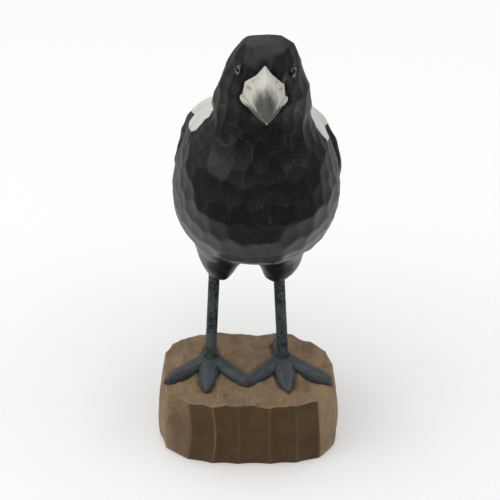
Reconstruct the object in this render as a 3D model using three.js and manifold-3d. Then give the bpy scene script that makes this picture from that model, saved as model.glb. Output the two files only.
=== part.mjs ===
// A magpie carved in wood, standing on a gouged wooden block, in millimetres. +Z is up, the bird faces
// -Y, and the origin is the middle of the block's underside.
import * as THREE from "three";
import { ParametricGeometry } from "three/addons/geometries/ParametricGeometry.js";
import { mergeVertices } from "three/addons/utils/BufferGeometryUtils.js";
import Module from "manifold-3d";

const wasm = await Module();
wasm.setup();

const { degToRad, lerp, clamp, smoothstep } = THREE.MathUtils;

// The block: a rounded square, slightly barrel-sided, whose top falls from its middle to its rim. Its
// corners are cut back by hand, and flutes are gouged down its sides.
const BLOCK = {
  halfWidth: 36.7,
  halfDepth: 34.3,
  height: 27,
  squareness: 3.6,
  topFall: 1.5,
  fallPower: 2.5,
  bulge: 1.3,
};
const CORNER_CUTS = [
  { heading: degToRad(42), depth: 4.8, reach: 0.34 },
  { heading: degToRad(135), depth: 1.2, reach: 0.3 },
  { heading: degToRad(225), depth: 1.6, reach: 0.3 },
];
const FLUTES = {
  count: 21,
  depth: 0.85,
  start: -0.009,
  stray: 0.004,
  strays: 7,
  strayFrom: 1 / 21,
  stepsEach: 3,
};

// The legs splay a little from the thighs down to the feet. Their ends sit in shallow sockets.
const LEG = { radius: 2.35, middleX: -0.6, sides: 20 };
const LEG_TOP = { x: 13, y: 7, z: 72 };
const LEG_FOOT = { x: 15.2, y: 3.4, z: 27.8 };
const FIT = 0.3;

// The feet stand proud of the block's top: a low hub behind the leg's foot, and flat-topped toes. Each
// toe has a heading, in degrees from straight ahead to the outside, a length, a width at its root and
// near its tip, and a height at its tip. Its end is blunt, and it droops with the block's top. The
// middle toe is a leaf, which stays broad and comes to a point.
const FOOT = { rootHeight: 3.9, sink: 4, seat: 1, bluntness: 0.9, bluntPower: 9, droop: degToRad(4) };
const HUB = { behind: 2.2, radii: [5.2, 4.8, 4.1] };
const LEAF = 2.1;
const TOES = {
  right: [
    { heading: 2.6, length: 26.2, width: 9.4, tipWidth: 2.4, tipHeight: 2.6, taper: LEAF },
    { heading: -38.7, length: 26.2, width: 7.2, tipWidth: 5, tipHeight: 3.9, taper: 1 },
    { heading: 45, length: 24, width: 7.2, tipWidth: 5, tipHeight: 4.4, taper: 1 },
    { heading: 179, length: 15, width: 5.5, tipWidth: 3.5, tipHeight: 2.6, taper: 1 },
  ],
  left: [
    { heading: 4.1, length: 26.8, width: 9.4, tipWidth: 2.4, tipHeight: 2.6, taper: LEAF },
    { heading: -36.9, length: 25.4, width: 8, tipWidth: 5, tipHeight: 3.9, taper: 1 },
    { heading: 46, length: 26.8, width: 7.2, tipWidth: 5, tipHeight: 4.4, taper: 1 },
    { heading: 190, length: 18, width: 5.5, tipWidth: 3.5, tipHeight: 2.6, taper: 1 },
  ],
};
// Half of a toe's cross-section from its underside to its ridge, as shares [across, up] of its half
// width and, above the wood, of its height
const TOE_SECTION = [[0, -1], [1, -1], [1, 0.5], [0.62, 0.94], [0, 1]];

// The bird leans to its left, about a line between the tops of its legs
const LEAN = { angle: degToRad(2), pivotZ: 58 };

// Cross-sections of the body from the crown to the tail's end. Each runs from a point on the back to a
// point on the front, given as [y, z], and is a superellipse of that half width and squareness. A wedge
// narrows it to the front, and sway moves it sideways. Those with no squareness given are plainly round.
const ROUND = 2.1;
const SECTIONS = [
  { at: "crown", back: [-23, 178.3], front: [-23, 178.3], half: 0, wedge: 0.1, sway: 3.6 },
  { at: "cap", back: [-15.5, 176.8], front: [-30, 176.6], half: 6.9, square: 2.1, wedge: 0.14, sway: 3.5 },
  { at: "forehead", back: [-10.5, 174], front: [-34.5, 172.5], half: 10.4, wedge: 0.22, sway: 3.2 },
  { at: "brow", back: [-7.5, 169.5], front: [-37, 167], half: 12.5, wedge: 0.3, sway: 2.8 },
  { at: "eyes", back: [-6, 164], front: [-37.5, 161], half: 14.4, wedge: 0.32, sway: 2.5 },
  { at: "cheeks", back: [-3.5, 158], front: [-36.5, 153.5], half: 16.7, wedge: 0.3, sway: 2.6 },
  { at: "throat", back: [1.5, 152], front: [-35, 145.5], half: 18.6, square: 2.15, wedge: 0.2, sway: 2.3 },
  { at: "neck", back: [11, 146], front: [-36, 136], half: 21, square: 2.2, wedge: 0.1, sway: 1.8 },
  { at: "shoulders", back: [25, 138], front: [-39, 123.5], half: 27.4, square: 2.35, sway: 1.1 },
  { at: "breast", back: [40, 128], front: [-41.5, 109], half: 31.5, square: 2.3, sway: 1.7 },
  { at: "lower breast", back: [54, 118], front: [-38, 95.5], half: 33.6, square: 2.15, sway: 1.6 },
  { at: "belly", back: [65.5, 109], front: [-26, 86], half: 32.3, square: 2.3, sway: 0.8 },
  { at: "under belly", back: [75, 101.5], front: [-6, 79.5], half: 28.6, square: 2.35, sway: 0.5 },
  { at: "vent", back: [83, 95], front: [18, 73], half: 22.5, square: 2.2, sway: 0 },
  { at: "rump", back: [91, 89], front: [42, 70.5], half: 18.8, square: 2.5, sway: 0.1 },
  { at: "tail root", back: [99, 83], front: [68, 70], half: 16.6, square: 2.9, sway: 0.2 },
  { at: "tail", back: [108, 77], front: [92, 68], half: 15.8, square: 3.5, sway: 0.4 },
  { at: "tail fan", back: [117.5, 70.5], front: [110.5, 64.8], half: 15.9, square: 4.2, sway: 0.3 },
  { at: "tail end", back: [126.5, 65], front: [124, 60.2], half: 16.2, square: 5, sway: 0.1 },
];
const LAST = SECTIONS.length - 1;

// The bill: where its mouth line starts, inside the face, and ends, as [x, y, z]; the half width of its
// upper and of its lower half and how they narrow; the ridge's height and how it falls; the lower
// half's depth
const BILL = {
  root: [2.3, -27, 158.2],
  tip: [3.2, -65, 159.4],
  upperHalf: 9,
  upperPower: 1.2,
  lowerHalf: 8.6,
  lowerPower: 1.5,
  ridgeHeight: 15.4,
  ridgePower: 0.85,
  lowerDepth: 5.4,
};
// At the face the bill is a steep gable, which runs up the forehead, between two flat shoulders.
// Further out it is round. Its corners flare at the mouth line.
const BILL_ROOF = { from: 0.18, to: 0.45, slope: 0.68, shoulder: 0.47, roundness: 2.1, roundPower: 0.6 };
const BILL_FLARE = { at: 0.16, reach: 0.07, size: 1 };

// Knife cuts: the share of the body's length at which they start, how many go round it, the rows of
// them along it, how far they are scooped and how far they stray. The crown above them is one flat cut.
const CUTS = { from: 0.012, around: 19, rows: 24, depth: 0.5, stray: 0.3, firstScoop: 3 };

// The eyes are beads of this radius, standing this far out of the face. The left one sits a little lower.
const EYE = { radius: 2.1, out: 0.9 };
const EYE_PLACES = {
  right: { section: 3.1, around: degToRad(114) },
  left: { section: 3.2, around: degToRad(113) },
};

// The thighs are rounded lobes under the belly, which spread apart to their tops
const THIGH = { x: 14, y: 4.5, z: 83, radii: [10.7, 12.5, 17.3], tilt: degToRad(-14), spread: degToRad(14) };

// The folded wings lie on the body between an upper and a lower edge, as angles from the middle of the
// back. Their rear part is stepped into long feathers. The left wing hangs a little lower, and the right
// one stands out more at its shoulder.
const WING = {
  from: 6.9,
  to: 15.9,
  proud: 1.9,
  sunk: 2.5,
  feathers: 5,
  tread: 0.92,
  featherStep: 0.8,
  stepsFrom: 0.35,
  stepsTo: 0.55,
  frontRise: 6,
  tipFall: 8,
  tipShare: 0.35,
  leftDrop: degToRad(9),
  shoulder: { size: 1.2, at: 0.21, reach: 0.09 },
};
const WING_EDGES = [
  { along: 0, upper: 52, lower: 54 },
  { along: 0.1, upper: 33, lower: 60 },
  { along: 0.25, upper: 25, lower: 66 },
  { along: 0.45, upper: 20, lower: 76 },
  { along: 0.65, upper: 17, lower: 80 },
  { along: 0.82, upper: 15, lower: 68 },
  { along: 0.93, upper: 15, lower: 48 },
  { along: 1, upper: 24, lower: 28 },
];

const COLOURS = {
  black: { color: 0x1d1f20, roughness: 0.45, metalness: 0 },
  legBlue: { color: 0x39474d, roughness: 0.55, metalness: 0 },
  wood: { color: 0x7b6750, roughness: 0.75, metalness: 0 },
  eyeGlass: { color: 0x120b08, roughness: 0.08, metalness: 0 },
};

// Smooth curve through one number of a list's entries
function rail(list, pick) {
  return new THREE.SplineCurve(list.map((entry, i) => new THREE.Vector2(i, pick(entry))));
}
const BODY_RAILS = {
  backY: rail(SECTIONS, (s) => s.back[0]),
  backZ: rail(SECTIONS, (s) => s.back[1]),
  frontY: rail(SECTIONS, (s) => s.front[0]),
  frontZ: rail(SECTIONS, (s) => s.front[1]),
  half: rail(SECTIONS, (s) => s.half),
  square: rail(SECTIONS, (s) => s.square ?? ROUND),
  wedge: rail(SECTIONS, (s) => s.wedge ?? 0),
  sway: rail(SECTIONS, (s) => s.sway),
};
const readBody = (name, section) => BODY_RAILS[name].getPoint(clamp(section / LAST, 0, 1)).y;

// A number from -0.5 to 0.5 that looks random and is the same each time
function wobble(i, j) {
  const wave = Math.sin(i * 12.9898 + j * 78.233) * 43758.5453;
  return wave - Math.floor(wave) - 0.5;
}

// A signed power, which squares a circle's cosine or sine into a superellipse's
const squared = (value, n) => Math.sign(value) * Math.abs(value) ** (2 / n);

// The smooth body at a section and an angle around it: 0 is the back, half a turn the front
function bodyPoint(section, around) {
  const n = readBody("square", section);
  const across = squared(Math.sin(around), n);
  const toBack = (1 + squared(Math.cos(around), n)) / 2;
  const wedge = 1 + readBody("wedge", section) * (2 * toBack - 1);
  const half = Math.max(readBody("half", section), 0) * wedge;
  return new THREE.Vector3(
    half * across + readBody("sway", section),
    lerp(readBody("frontY", section), readBody("backY", section), toBack),
    lerp(readBody("frontZ", section), readBody("backZ", section), toBack),
  );
}

// The outward direction of the smooth body there
function bodyNormal(section, around) {
  const STEP = 0.01;
  const s = clamp(section, 0.3, LAST - 0.05);
  const alongBody = bodyPoint(s + STEP, around).sub(bodyPoint(s - STEP, around));
  const roundBody = bodyPoint(s, around + STEP).sub(bodyPoint(s, around - STEP));
  return roundBody.cross(alongBody).normalize();
}

// Section numbers at equal steps along the body, whose length is taken halfway between its back and its
// front
const span = (a, b) => Math.hypot(b[0] - a[0], b[1] - a[1]);
const REACHES = [0];
for (let i = 0; i < LAST; i++) {
  const [near, far] = [SECTIONS[i], SECTIONS[i + 1]];
  REACHES.push(REACHES[i] + (span(near.back, far.back) + span(near.front, far.front)) / 2);
}
function sectionAlong(share) {
  const reach = share * REACHES[LAST];
  const after = Math.max(REACHES.findIndex((r) => r >= reach), 1);
  return after - 1 + (reach - REACHES[after - 1]) / (REACHES[after] - REACHES[after - 1]);
}

// A closed skin through rings of points, pointAt(turn, along). Its two ends are shut at their rings'
// middles.
function closedTube(pointAt, stepsAround, stepsAlong) {
  const rows = stepsAlong + 2;
  const ringMiddle = (along) => {
    const sum = new THREE.Vector3();
    for (let i = 0; i < stepsAround; i++) sum.add(pointAt(i / stepsAround, along));
    return sum.divideScalar(stepsAround);
  };
  return new ParametricGeometry(
    (u, v, target) => {
      const row = Math.round(v * rows);
      const along = clamp((row - 1) / stepsAlong, 0, 1);
      return target.copy(row === 0 || row === rows ? ringMiddle(along) : pointAt(u % 1, along));
    },
    stepsAround,
    rows,
  );
}

// The body with its knife cuts, laid like bricks. Each cut is a patch of four faces whose middle is
// scooped.
function carvedBody() {
  const columns = 2 * CUTS.around;
  const rows = 2 * CUTS.rows;
  const pointAt = (turn, along) => {
    const column = Math.round(turn * columns);
    const row = Math.round(along * rows);
    const atEnd = row === 0 || row === rows;
    const stray = atEnd ? 0 : CUTS.stray;
    const section = sectionAlong(lerp(CUTS.from, 1, (row + stray * wobble(column, row)) / rows));
    const around = ((column + stray * wobble(row, column)) / columns) * 2 * Math.PI;
    const inMiddle = row % 2 === 1 && (column + (row - 1) / 2) % 2 === 1;
    const scooped = inMiddle && row >= CUTS.firstScoop && row < rows;
    const point = bodyPoint(section, around);
    return scooped ? point.addScaledVector(bodyNormal(section, around), -CUTS.depth) : point;
  };
  return closedTube(pointAt, columns, rows);
}

// A smooth curve through one of the wing's edges, as an angle at a share of the wing's length
function wingEdge(name) {
  const curve = rail(WING_EDGES, (edge) => edge[name]);
  return (along) => {
    const after = Math.max(WING_EDGES.findIndex((edge) => edge.along >= along), 1);
    const [near, far] = [WING_EDGES[after - 1].along, WING_EDGES[after].along];
    const place = after - 1 + (along - near) / (far - near);
    return degToRad(curve.getPoint(place / (WING_EDGES.length - 1)).y);
  };
}
const upperEdge = wingEdge("upper");
const lowerEdge = wingEdge("lower");

// A folded wing: a slab over the body. side is 1 for the left one and -1 for the right one. Each ring
// of points goes over the feathers, a lower edge and a raised one for each, and back under them.
function wing(side, stepsAlong) {
  const UNDER = [1, 0.67, 0.33, 0];
  const over = 2 * WING.feathers;
  const around = over + UNDER.length;
  const pointAt = (turn, along) => {
    const count = Math.round(turn * around);
    const i = side > 0 ? count : (around - 1 - count + around) % around;
    const across = i < over ? (Math.floor(i / 2) + WING.tread * (i % 2)) / WING.feathers : UNDER[i - over];
    const stepped = (1 - (i % 2)) * clamp((along - WING.stepsFrom) / (WING.stepsTo - WING.stepsFrom), 0, 1);
    const taper = Math.min(1, WING.frontRise * along, WING.tipFall * (1 - along) + WING.tipShare);
    const { size, at, reach } = WING.shoulder;
    const shoulder = side > 0 ? 0 : size * Math.exp(-(((along - at) / reach) ** 2));
    const height = i < over ? taper * (WING.proud + shoulder - WING.featherStep * stepped) : -WING.sunk;
    const section = lerp(WING.from, WING.to, along);
    const drop = side > 0 ? WING.leftDrop * Math.sin(Math.PI * along) : 0;
    const angle = (lerp(upperEdge(along), lowerEdge(along), across) + drop * across) * side;
    return bodyPoint(section, angle).addScaledVector(bodyNormal(section, angle), height);
  };
  return closedTube(pointAt, around, stepsAlong);
}

// How high the bill's upper half stands at a share of the way from its middle line to its side, as a
// share of its ridge's height
function billRoof(side, along) {
  const EDGE = 12;
  const shoulder = BILL_ROOF.shoulder * (1 - side ** EDGE);
  const gable = Math.max(1 - BILL_ROOF.slope * side, shoulder) * Math.min(1, EDGE * (1 - side));
  const round = (1 - side ** BILL_ROOF.roundness) ** BILL_ROOF.roundPower;
  return lerp(gable, round, smoothstep(along, BILL_ROOF.from, BILL_ROOF.to));
}

// The bill: an upper half with its ridge, on a wider lower half
function bill(stepsAround, stepsAlong) {
  const MOUTH_LINE = 0.125;
  const root = new THREE.Vector3(...BILL.root);
  const tip = new THREE.Vector3(...BILL.tip);
  const pointAt = (turn, along) => {
    const rise = Math.sin(turn * 2 * Math.PI);
    const across = Math.cos(turn * 2 * Math.PI);
    const flare = BILL_FLARE.size * Math.exp(-(((along - BILL_FLARE.at) / BILL_FLARE.reach) ** 2));
    const narrowing = 1 - along ** BILL.lowerPower;
    const lower = BILL.lowerHalf * narrowing + flare;
    const upper = BILL.upperHalf * (1 - along ** BILL.upperPower);
    const half = lerp(lower, upper, clamp(rise / MOUTH_LINE, 0, 1));
    const ridge = BILL.ridgeHeight * (1 - along) ** BILL.ridgePower;
    const depth = BILL.lowerDepth * narrowing;
    const height = rise > 0 ? ridge * billRoof(Math.abs(across), along) : depth * rise;
    return root.clone().lerp(tip, along).add(new THREE.Vector3(half * across, 0, height));
  };
  return closedTube(pointAt, stepsAround, stepsAlong);
}

// One closed skin as a solid, without the triangles that collapsed at its poles
function solidOf(geometry) {
  const bare = new THREE.BufferGeometry().setAttribute("position", geometry.getAttribute("position"));
  if (geometry.index) bare.setIndex(geometry.index);
  const merged = mergeVertices(bare, 1e-3);
  const corners = merged.index.array;
  const triVerts = [];
  for (let i = 0; i < corners.length; i += 3) {
    const [a, b, c] = [corners[i], corners[i + 1], corners[i + 2]];
    if (a !== b && b !== c && c !== a) triVerts.push(a, b, c);
  }
  const mesh = new wasm.Mesh({
    numProp: 3,
    vertProperties: merged.attributes.position.array,
    triVerts: new Uint32Array(triVerts),
  });
  return new wasm.Manifold(mesh);
}

// A solid's skin
function geometryOf(solid) {
  const { vertProperties, triVerts } = solid.getMesh();
  const geometry = new THREE.BufferGeometry();
  geometry.setAttribute("position", new THREE.BufferAttribute(vertProperties, 3));
  geometry.setIndex(new THREE.BufferAttribute(triVerts, 1));
  return geometry;
}

const leanMatrix = new THREE.Matrix4()
  .makeTranslation(0, 0, LEAN.pivotZ)
  .multiply(new THREE.Matrix4().makeRotationY(LEAN.angle))
  .multiply(new THREE.Matrix4().makeTranslation(0, 0, -LEAN.pivotZ));

function thigh(side) {
  return new THREE.SphereGeometry(1, 14, 9)
    .scale(...THIGH.radii)
    .rotateX(THIGH.tilt)
    .rotateY(side * THIGH.spread)
    .translate(side * THIGH.x, THIGH.y, THIGH.z);
}

// A leg's rod, or with a bigger radius and some extra length the socket for its ends
function leg(side, radius, extra = 0) {
  const top = new THREE.Vector3(LEG.middleX + side * LEG_TOP.x, LEG_TOP.y, LEG_TOP.z);
  const foot = new THREE.Vector3(LEG.middleX + side * LEG_FOOT.x, LEG_FOOT.y, LEG_FOOT.z);
  const direction = top.clone().sub(foot);
  const middle = foot.clone().addScaledVector(direction, 0.5);
  const up = new THREE.Vector3(0, 1, 0);
  return new THREE.CylinderGeometry(radius, radius, direction.length() + 2 * extra, LEG.sides)
    .applyQuaternion(new THREE.Quaternion().setFromUnitVectors(up, direction.normalize()))
    .translate(middle.x, middle.y, middle.z);
}

function eye(side, radius) {
  const { section, around } = side > 0 ? EYE_PLACES.left : EYE_PLACES.right;
  const middle = bodyPoint(section, around * side)
    .addScaledVector(bodyNormal(section, around * side), EYE.out - EYE.radius)
    .applyMatrix4(leanMatrix);
  return new THREE.SphereGeometry(radius, 12, 8).translate(middle.x, middle.y, middle.z);
}

function bird() {
  let solid = solidOf(carvedBody().applyMatrix4(leanMatrix));
  for (const side of [-1, 1]) {
    solid = solid.add(solidOf(thigh(side).applyMatrix4(leanMatrix)));
    solid = solid.add(solidOf(wing(side, 18).applyMatrix4(leanMatrix)));
  }
  solid = solid.add(solidOf(bill(24, 12).applyMatrix4(leanMatrix)));
  for (const side of [-1, 1]) {
    solid = solid.subtract(solidOf(eye(side, EYE.radius + FIT)));
    solid = solid.subtract(solidOf(leg(side, LEG.radius + FIT, FIT)));
  }
  return geometryOf(solid);
}

// The block's outline from above, as a closed curve that can be read at equal steps of its length
function blockOutline() {
  const POINTS = 72;
  const points = Array.from({ length: POINTS }, (_, i) => {
    const heading = (i / POINTS) * 2 * Math.PI;
    const n = BLOCK.squareness;
    const [c, s] = [Math.abs(Math.cos(heading)), Math.abs(Math.sin(heading))];
    let radius = ((c / BLOCK.halfWidth) ** n + (s / BLOCK.halfDepth) ** n) ** (-1 / n);
    for (const cut of CORNER_CUTS) {
      radius -= cut.depth * Math.exp(-(((heading - cut.heading) / cut.reach) ** 2));
    }
    return new THREE.Vector3(radius * Math.cos(heading), radius * Math.sin(heading), 0);
  });
  return new THREE.CatmullRomCurve3(points, true);
}

// Height of the block's top at a share of the way from its middle to its rim
const blockTop = (share) => BLOCK.height - BLOCK.topFall * share ** BLOCK.fallPower;

// The block with a flute cut between every two ridges, from its underside up its side and over its top
function block() {
  const LOW_BULGE = 0.8;
  const SIDE_ROWS = 4;
  const TOP_ROWS = 4;
  const outline = blockOutline();
  const pointAt = (turn, along) => {
    const row = along * (SIDE_ROWS + TOP_ROWS);
    const up = Math.min(row / SIDE_ROWS, 1);
    const inward = Math.max(row - SIDE_ROWS, 0) / (TOP_ROWS + 1);
    const strayed = FLUTES.stray * Math.sin(2 * Math.PI * FLUTES.strays * (turn - FLUTES.strayFrom));
    const place = (turn + FLUTES.start + strayed + 1) % 1;
    const tangent = outline.getTangentAt(place);
    const outward = new THREE.Vector3(tangent.y, -tangent.x, 0);
    const fluted = -FLUTES.depth * Math.abs(Math.cos(Math.PI * FLUTES.count * turn));
    const barrel = BLOCK.bulge * (Math.sin(Math.PI * up ** LOW_BULGE) - up);
    const point = outline.getPointAt(place).addScaledVector(outward, fluted + barrel);
    return point.multiplyScalar(1 - inward).setZ(up * blockTop(1 - inward));
  };
  return closedTube(pointAt, FLUTES.stepsEach * FLUTES.count, SIDE_ROWS + TOP_ROWS);
}

// Puts one shape of a foot, made about its hub's middle, in its place
function onFoot(side, geometry) {
  const x = LEG.middleX + side * LEG_FOOT.x;
  return geometry.translate(x, LEG_FOOT.y + HUB.behind, BLOCK.height - FOOT.seat);
}

// A toe from the hub to its tip, its underside sunk in the block
function toe(side, { heading, length, width, tipWidth, tipHeight, taper }) {
  const half = TOE_SECTION.length - 1;
  const pointAt = (turn, along) => {
    const corner = Math.round(turn * 2 * half);
    const mirrored = corner > half;
    const [across, up] = TOE_SECTION[mirrored ? 2 * half - corner : corner];
    const blunt = Math.sqrt(1 - FOOT.bluntness * along ** FOOT.bluntPower);
    const x = (lerp(width, tipWidth, along ** taper) / 2) * blunt * across * (mirrored ? -1 : 1);
    const height = lerp(FOOT.rootHeight, tipHeight, along);
    return new THREE.Vector3(x, -along * length, up * (up > 0 ? height : FOOT.sink));
  };
  const level = closedTube(pointAt, 2 * half, 6);
  return onFoot(side, level.rotateX(FOOT.droop).rotateZ(degToRad(heading * side)));
}

// The low dome that the toes run into
function hub(side) {
  return onFoot(side, new THREE.SphereGeometry(1, 12, 6).rotateX(Math.PI / 2).scale(...HUB.radii));
}

// The block with the feet, carved in relief out of its top
function base() {
  let solid = solidOf(block());
  for (const side of [-1, 1]) {
    const toes = side < 0 ? TOES.right : TOES.left;
    for (const shape of toes) solid = solid.add(solidOf(toe(side, shape)));
    solid = solid.add(solidOf(hub(side)));
    solid = solid.subtract(solidOf(leg(side, LEG.radius + FIT, FIT)));
  }
  return geometryOf(solid);
}

const figure = new THREE.Group();
function addPiece(name, geometry, finish) {
  const mesh = new THREE.Mesh(geometry, new THREE.MeshStandardMaterial(finish));
  mesh.name = name;
  figure.add(mesh);
}

addPiece("base", base(), COLOURS.wood);
addPiece("bird", bird(), COLOURS.black);
for (const [side, word] of [[-1, "right"], [1, "left"]]) {
  addPiece(`${word}_leg`, leg(side, LEG.radius), COLOURS.legBlue);
  addPiece(`${word}_eye`, eye(side, EYE.radius), COLOURS.eyeGlass);
}

export default figure;
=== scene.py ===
"""The looks of a carved and painted magpie on a gouged wooden block.

Shapes are worked out in millimetres and put into the meshes in metres. +Z is up, the bird faces -Y,
and the origin is the middle of the block's underside.
"""

from __future__ import annotations

import logging
import math
from dataclasses import dataclass, field, fields
from enum import Enum
from typing import Iterable, Sequence

import bpy
import numpy as np
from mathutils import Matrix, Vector

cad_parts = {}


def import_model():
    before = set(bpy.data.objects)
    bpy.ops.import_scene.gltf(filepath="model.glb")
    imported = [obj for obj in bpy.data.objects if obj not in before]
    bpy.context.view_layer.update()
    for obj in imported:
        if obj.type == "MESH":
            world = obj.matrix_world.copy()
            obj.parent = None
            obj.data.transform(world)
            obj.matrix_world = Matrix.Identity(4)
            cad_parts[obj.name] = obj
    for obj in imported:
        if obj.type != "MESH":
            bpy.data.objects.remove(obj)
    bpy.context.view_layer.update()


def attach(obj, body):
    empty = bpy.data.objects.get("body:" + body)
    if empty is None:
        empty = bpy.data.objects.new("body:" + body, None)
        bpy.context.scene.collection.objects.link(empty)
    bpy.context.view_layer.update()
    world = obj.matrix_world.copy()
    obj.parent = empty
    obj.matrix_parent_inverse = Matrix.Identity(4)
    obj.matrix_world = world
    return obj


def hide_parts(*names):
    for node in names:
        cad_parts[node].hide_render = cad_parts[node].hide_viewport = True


LOG = logging.getLogger("magpie")
MM = 0.001  # a millimetre, in metres
TURN = 2 * math.pi
KEPT = "kept"  # the mark of the points that were there before skins were joined
SEAM = "seam"  # the mark of the points on the lines where skins meet
NO_WHITE = -6.0  # the mark "white" far outside the white paint, in millimetres
BATCH = 8192  # how many points are worked on at a time
SEAM_POINTS = 900  # about how many of a seam's points distances are measured from
Array = np.ndarray
Mesh = bpy.types.Mesh
Piece = bpy.types.Object
Triple = tuple[float, float, float]
Colour = Triple


class Side(Enum):
    """A side of the bird, as the sign of its X."""

    RIGHT = -1
    LEFT = 1

    @property
    def word(self) -> str:
        """The side's name, as the nodes have it."""
        return self.name.lower()


# Curves and arrays


def spline(values: Sequence[float], place: Array) -> Array:
    """Reads a smooth curve through a list of values.

    The curve is a uniform Catmull-Rom spline: between two values its slopes are half the difference of
    the values on either side.

    Args:
        values: The values at places 0, 1, 2 and so on.
        place: Where to read, in steps of the list.

    Returns:
        The curve's values, shaped as place.
    """
    knots = np.asarray(values, float)
    last = len(knots) - 1
    place = np.clip(place, 0, last)
    at = np.minimum(place.astype(int), last - 1)
    t = place - at
    before, near = knots[np.maximum(at - 1, 0)], knots[at]
    far, after = knots[at + 1], knots[np.minimum(at + 2, last)]
    rise, run_out = (far - before) / 2, (after - near) / 2
    cubic = 2 * near - 2 * far + rise + run_out
    square = -3 * near + 3 * far - 2 * rise - run_out
    return ((cubic * t + square) * t + rise) * t + near


def signed_power(value: Array, power: Array | float) -> Array:
    """A power of the size of a value that keeps its sign."""
    return np.sign(value) * np.abs(value) ** power


def smooth(value: Array, low: float, high: float) -> Array:
    """A smooth step, t * t * (3 - 2 * t), from 0 at low to 1 at high."""
    t = np.clip((value - low) / (high - low), 0, 1)
    return t * t * (3 - 2 * t)


def blend(a: Array | float, b: Array | float, share: Array | float) -> Array:
    """The straight mix a + (b - a) * share."""
    return a + (b - a) * share


def unit(vectors: Array) -> Array:
    """Vectors brought to length 1."""
    return vectors / np.maximum(np.linalg.norm(vectors, axis=-1, keepdims=True), 1e-12)


def bell(distance: Array, reach: float) -> Array:
    """A bell curve, exp(-(distance / reach) ** 2)."""
    return np.exp(-((distance / reach) ** 2))


def round_turn(columns: int) -> Array:
    """Angles that part a full turn evenly, as one row."""
    return np.linspace(0, TURN, columns, endpoint=False)[None, :]


def over_ball(rows: int, columns: int, pole: float = 0.04) -> Array:
    """Directions all over a ball, (sin v cos u, sin v sin u, cos v).

    Args:
        rows: How many rings they lie on.
        columns: How many lie on each ring.
        pole: The angle between a pole and the ring next to it.

    Returns:
        The directions, shaped rows x columns x 3.
    """
    v, u = np.linspace(pole, math.pi - pole, rows)[:, None], round_turn(columns)
    return np.stack([np.sin(v) * np.cos(u), np.sin(v) * np.sin(u), np.cos(v) + 0 * u], -1)


def turning(axis: int, degrees: float) -> Array:
    """A turn about one of the axes.

    Args:
        axis: 0, 1 or 2 for X, Y or Z.
        degrees: The angle, positive from each axis to the next.

    Returns:
        Its matrix.
    """
    angle, one, other = math.radians(degrees), (axis + 1) % 3, (axis + 2) % 3
    matrix = np.eye(3)
    matrix[one, one] = matrix[other, other] = math.cos(angle)
    matrix[other, one] = math.sin(angle)
    matrix[one, other] = -math.sin(angle)
    return matrix


def put_in_scene(name: str, data: bpy.types.ID) -> Piece:
    """Makes a new object in the scene.

    Args:
        name: Its name.
        data: Its mesh, light or camera.

    Returns:
        The object.
    """
    made = bpy.data.objects.new(name, data)
    bpy.context.scene.collection.objects.link(made)
    return made


# Skins


@dataclass
class Shell:
    """A closed skin in millimetres, with marks: values at its points that the paint is laid by."""

    points: Array
    faces: list[Array]
    marks: dict[str, Array] = field(default_factory=dict)

    def facing_out(self) -> Shell:
        """Turns the skin's faces to point outwards.

        The volume inside, a sixth of the sum of a . (b x c) over its triangles, is negative for a skin
        that is inside out.

        Returns:
            The same skin.
        """
        tris = np.vstack([f[:, [0, k, k + 1]] for f in self.faces for k in range(1, f.shape[1] - 1)])
        a, b, c = (self.points[tris[:, k]] for k in range(3))
        if np.einsum("ij,ij->", a, np.cross(b, c)) < 0:
            self.faces = [f[:, ::-1] for f in self.faces]
        return self

    def leaned(self, matrix: Array, pivot: Array) -> Shell:
        """The skin turned by a matrix about a pivot."""
        self.points = (self.points - pivot) @ matrix.T + pivot
        return self

    def to_mesh(self, name: str) -> Mesh:
        """Puts the skin into a mesh, in metres, its marks as attributes.

        Args:
            name: The mesh's name.

        Returns:
            The mesh.
        """
        corners = np.concatenate([f.ravel() for f in self.faces]).astype(np.int32)
        sizes = np.concatenate([np.full(len(f), f.shape[1]) for f in self.faces])
        starts = np.concatenate([[0], np.cumsum(sizes)[:-1]]).astype(np.int32)
        mesh = bpy.data.meshes.new(name)
        mesh.vertices.add(len(self.points))
        mesh.vertices.foreach_set("co", (self.points * MM).astype(np.float32).ravel())
        mesh.loops.add(len(corners))
        mesh.loops.foreach_set("vertex_index", corners)
        mesh.polygons.add(len(sizes))
        mesh.polygons.foreach_set("loop_start", starts)
        mesh.update(calc_edges=True)
        for mark, values in self.marks.items():
            write_mark(mesh, mark, values)
        return mesh


def strips(rows: int, columns: int, count: int) -> Array:
    """Weaves four-cornered faces between rings of points, each to the next and the last to the first.

    Args:
        rows: How many rings there are.
        columns: How many points each has.
        count: How many strips are wanted, from the first ring on.

    Returns:
        The faces' corners, as numbers of points.
    """
    row, column = np.meshgrid(np.arange(count), np.arange(columns), indexing="ij")
    after, beside = (row + 1) % rows * columns, (column + 1) % columns
    row = row * columns
    return np.stack([row + column, row + beside, after + beside, after + column], -1).reshape(-1, 4)


def closed_tube(rings: Array, **marks: Array) -> Shell:
    """A closed skin through rings of points, shut at both ends at their rings' middles.

    Args:
        rings: Points shaped rows x columns x 3; the columns go once round.
        marks: Values shaped rows x columns.

    Returns:
        The skin.
    """
    rows, columns = rings.shape[:2]
    quads = strips(rows, columns, rows - 1)
    turn = np.arange(columns)
    after = (turn + 1) % columns
    first, last = np.full(columns, rows * columns), np.full(columns, rows * columns + 1)
    top = (rows - 1) * columns
    caps = np.vstack([np.stack([first, after, turn], -1), np.stack([last, top + turn, top + after], -1)])

    def with_ends(values: Array) -> Array:
        """Values of all the points, with the two end points' after them."""
        flat = values.reshape(rows * columns, -1)
        return np.vstack([flat, values[[0, -1]].reshape(2, columns, -1).mean(1)]).squeeze()

    found = {mark: with_ends(values) for mark, values in marks.items()}
    return Shell(with_ends(rings), [quads, caps], found).facing_out()


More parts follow.
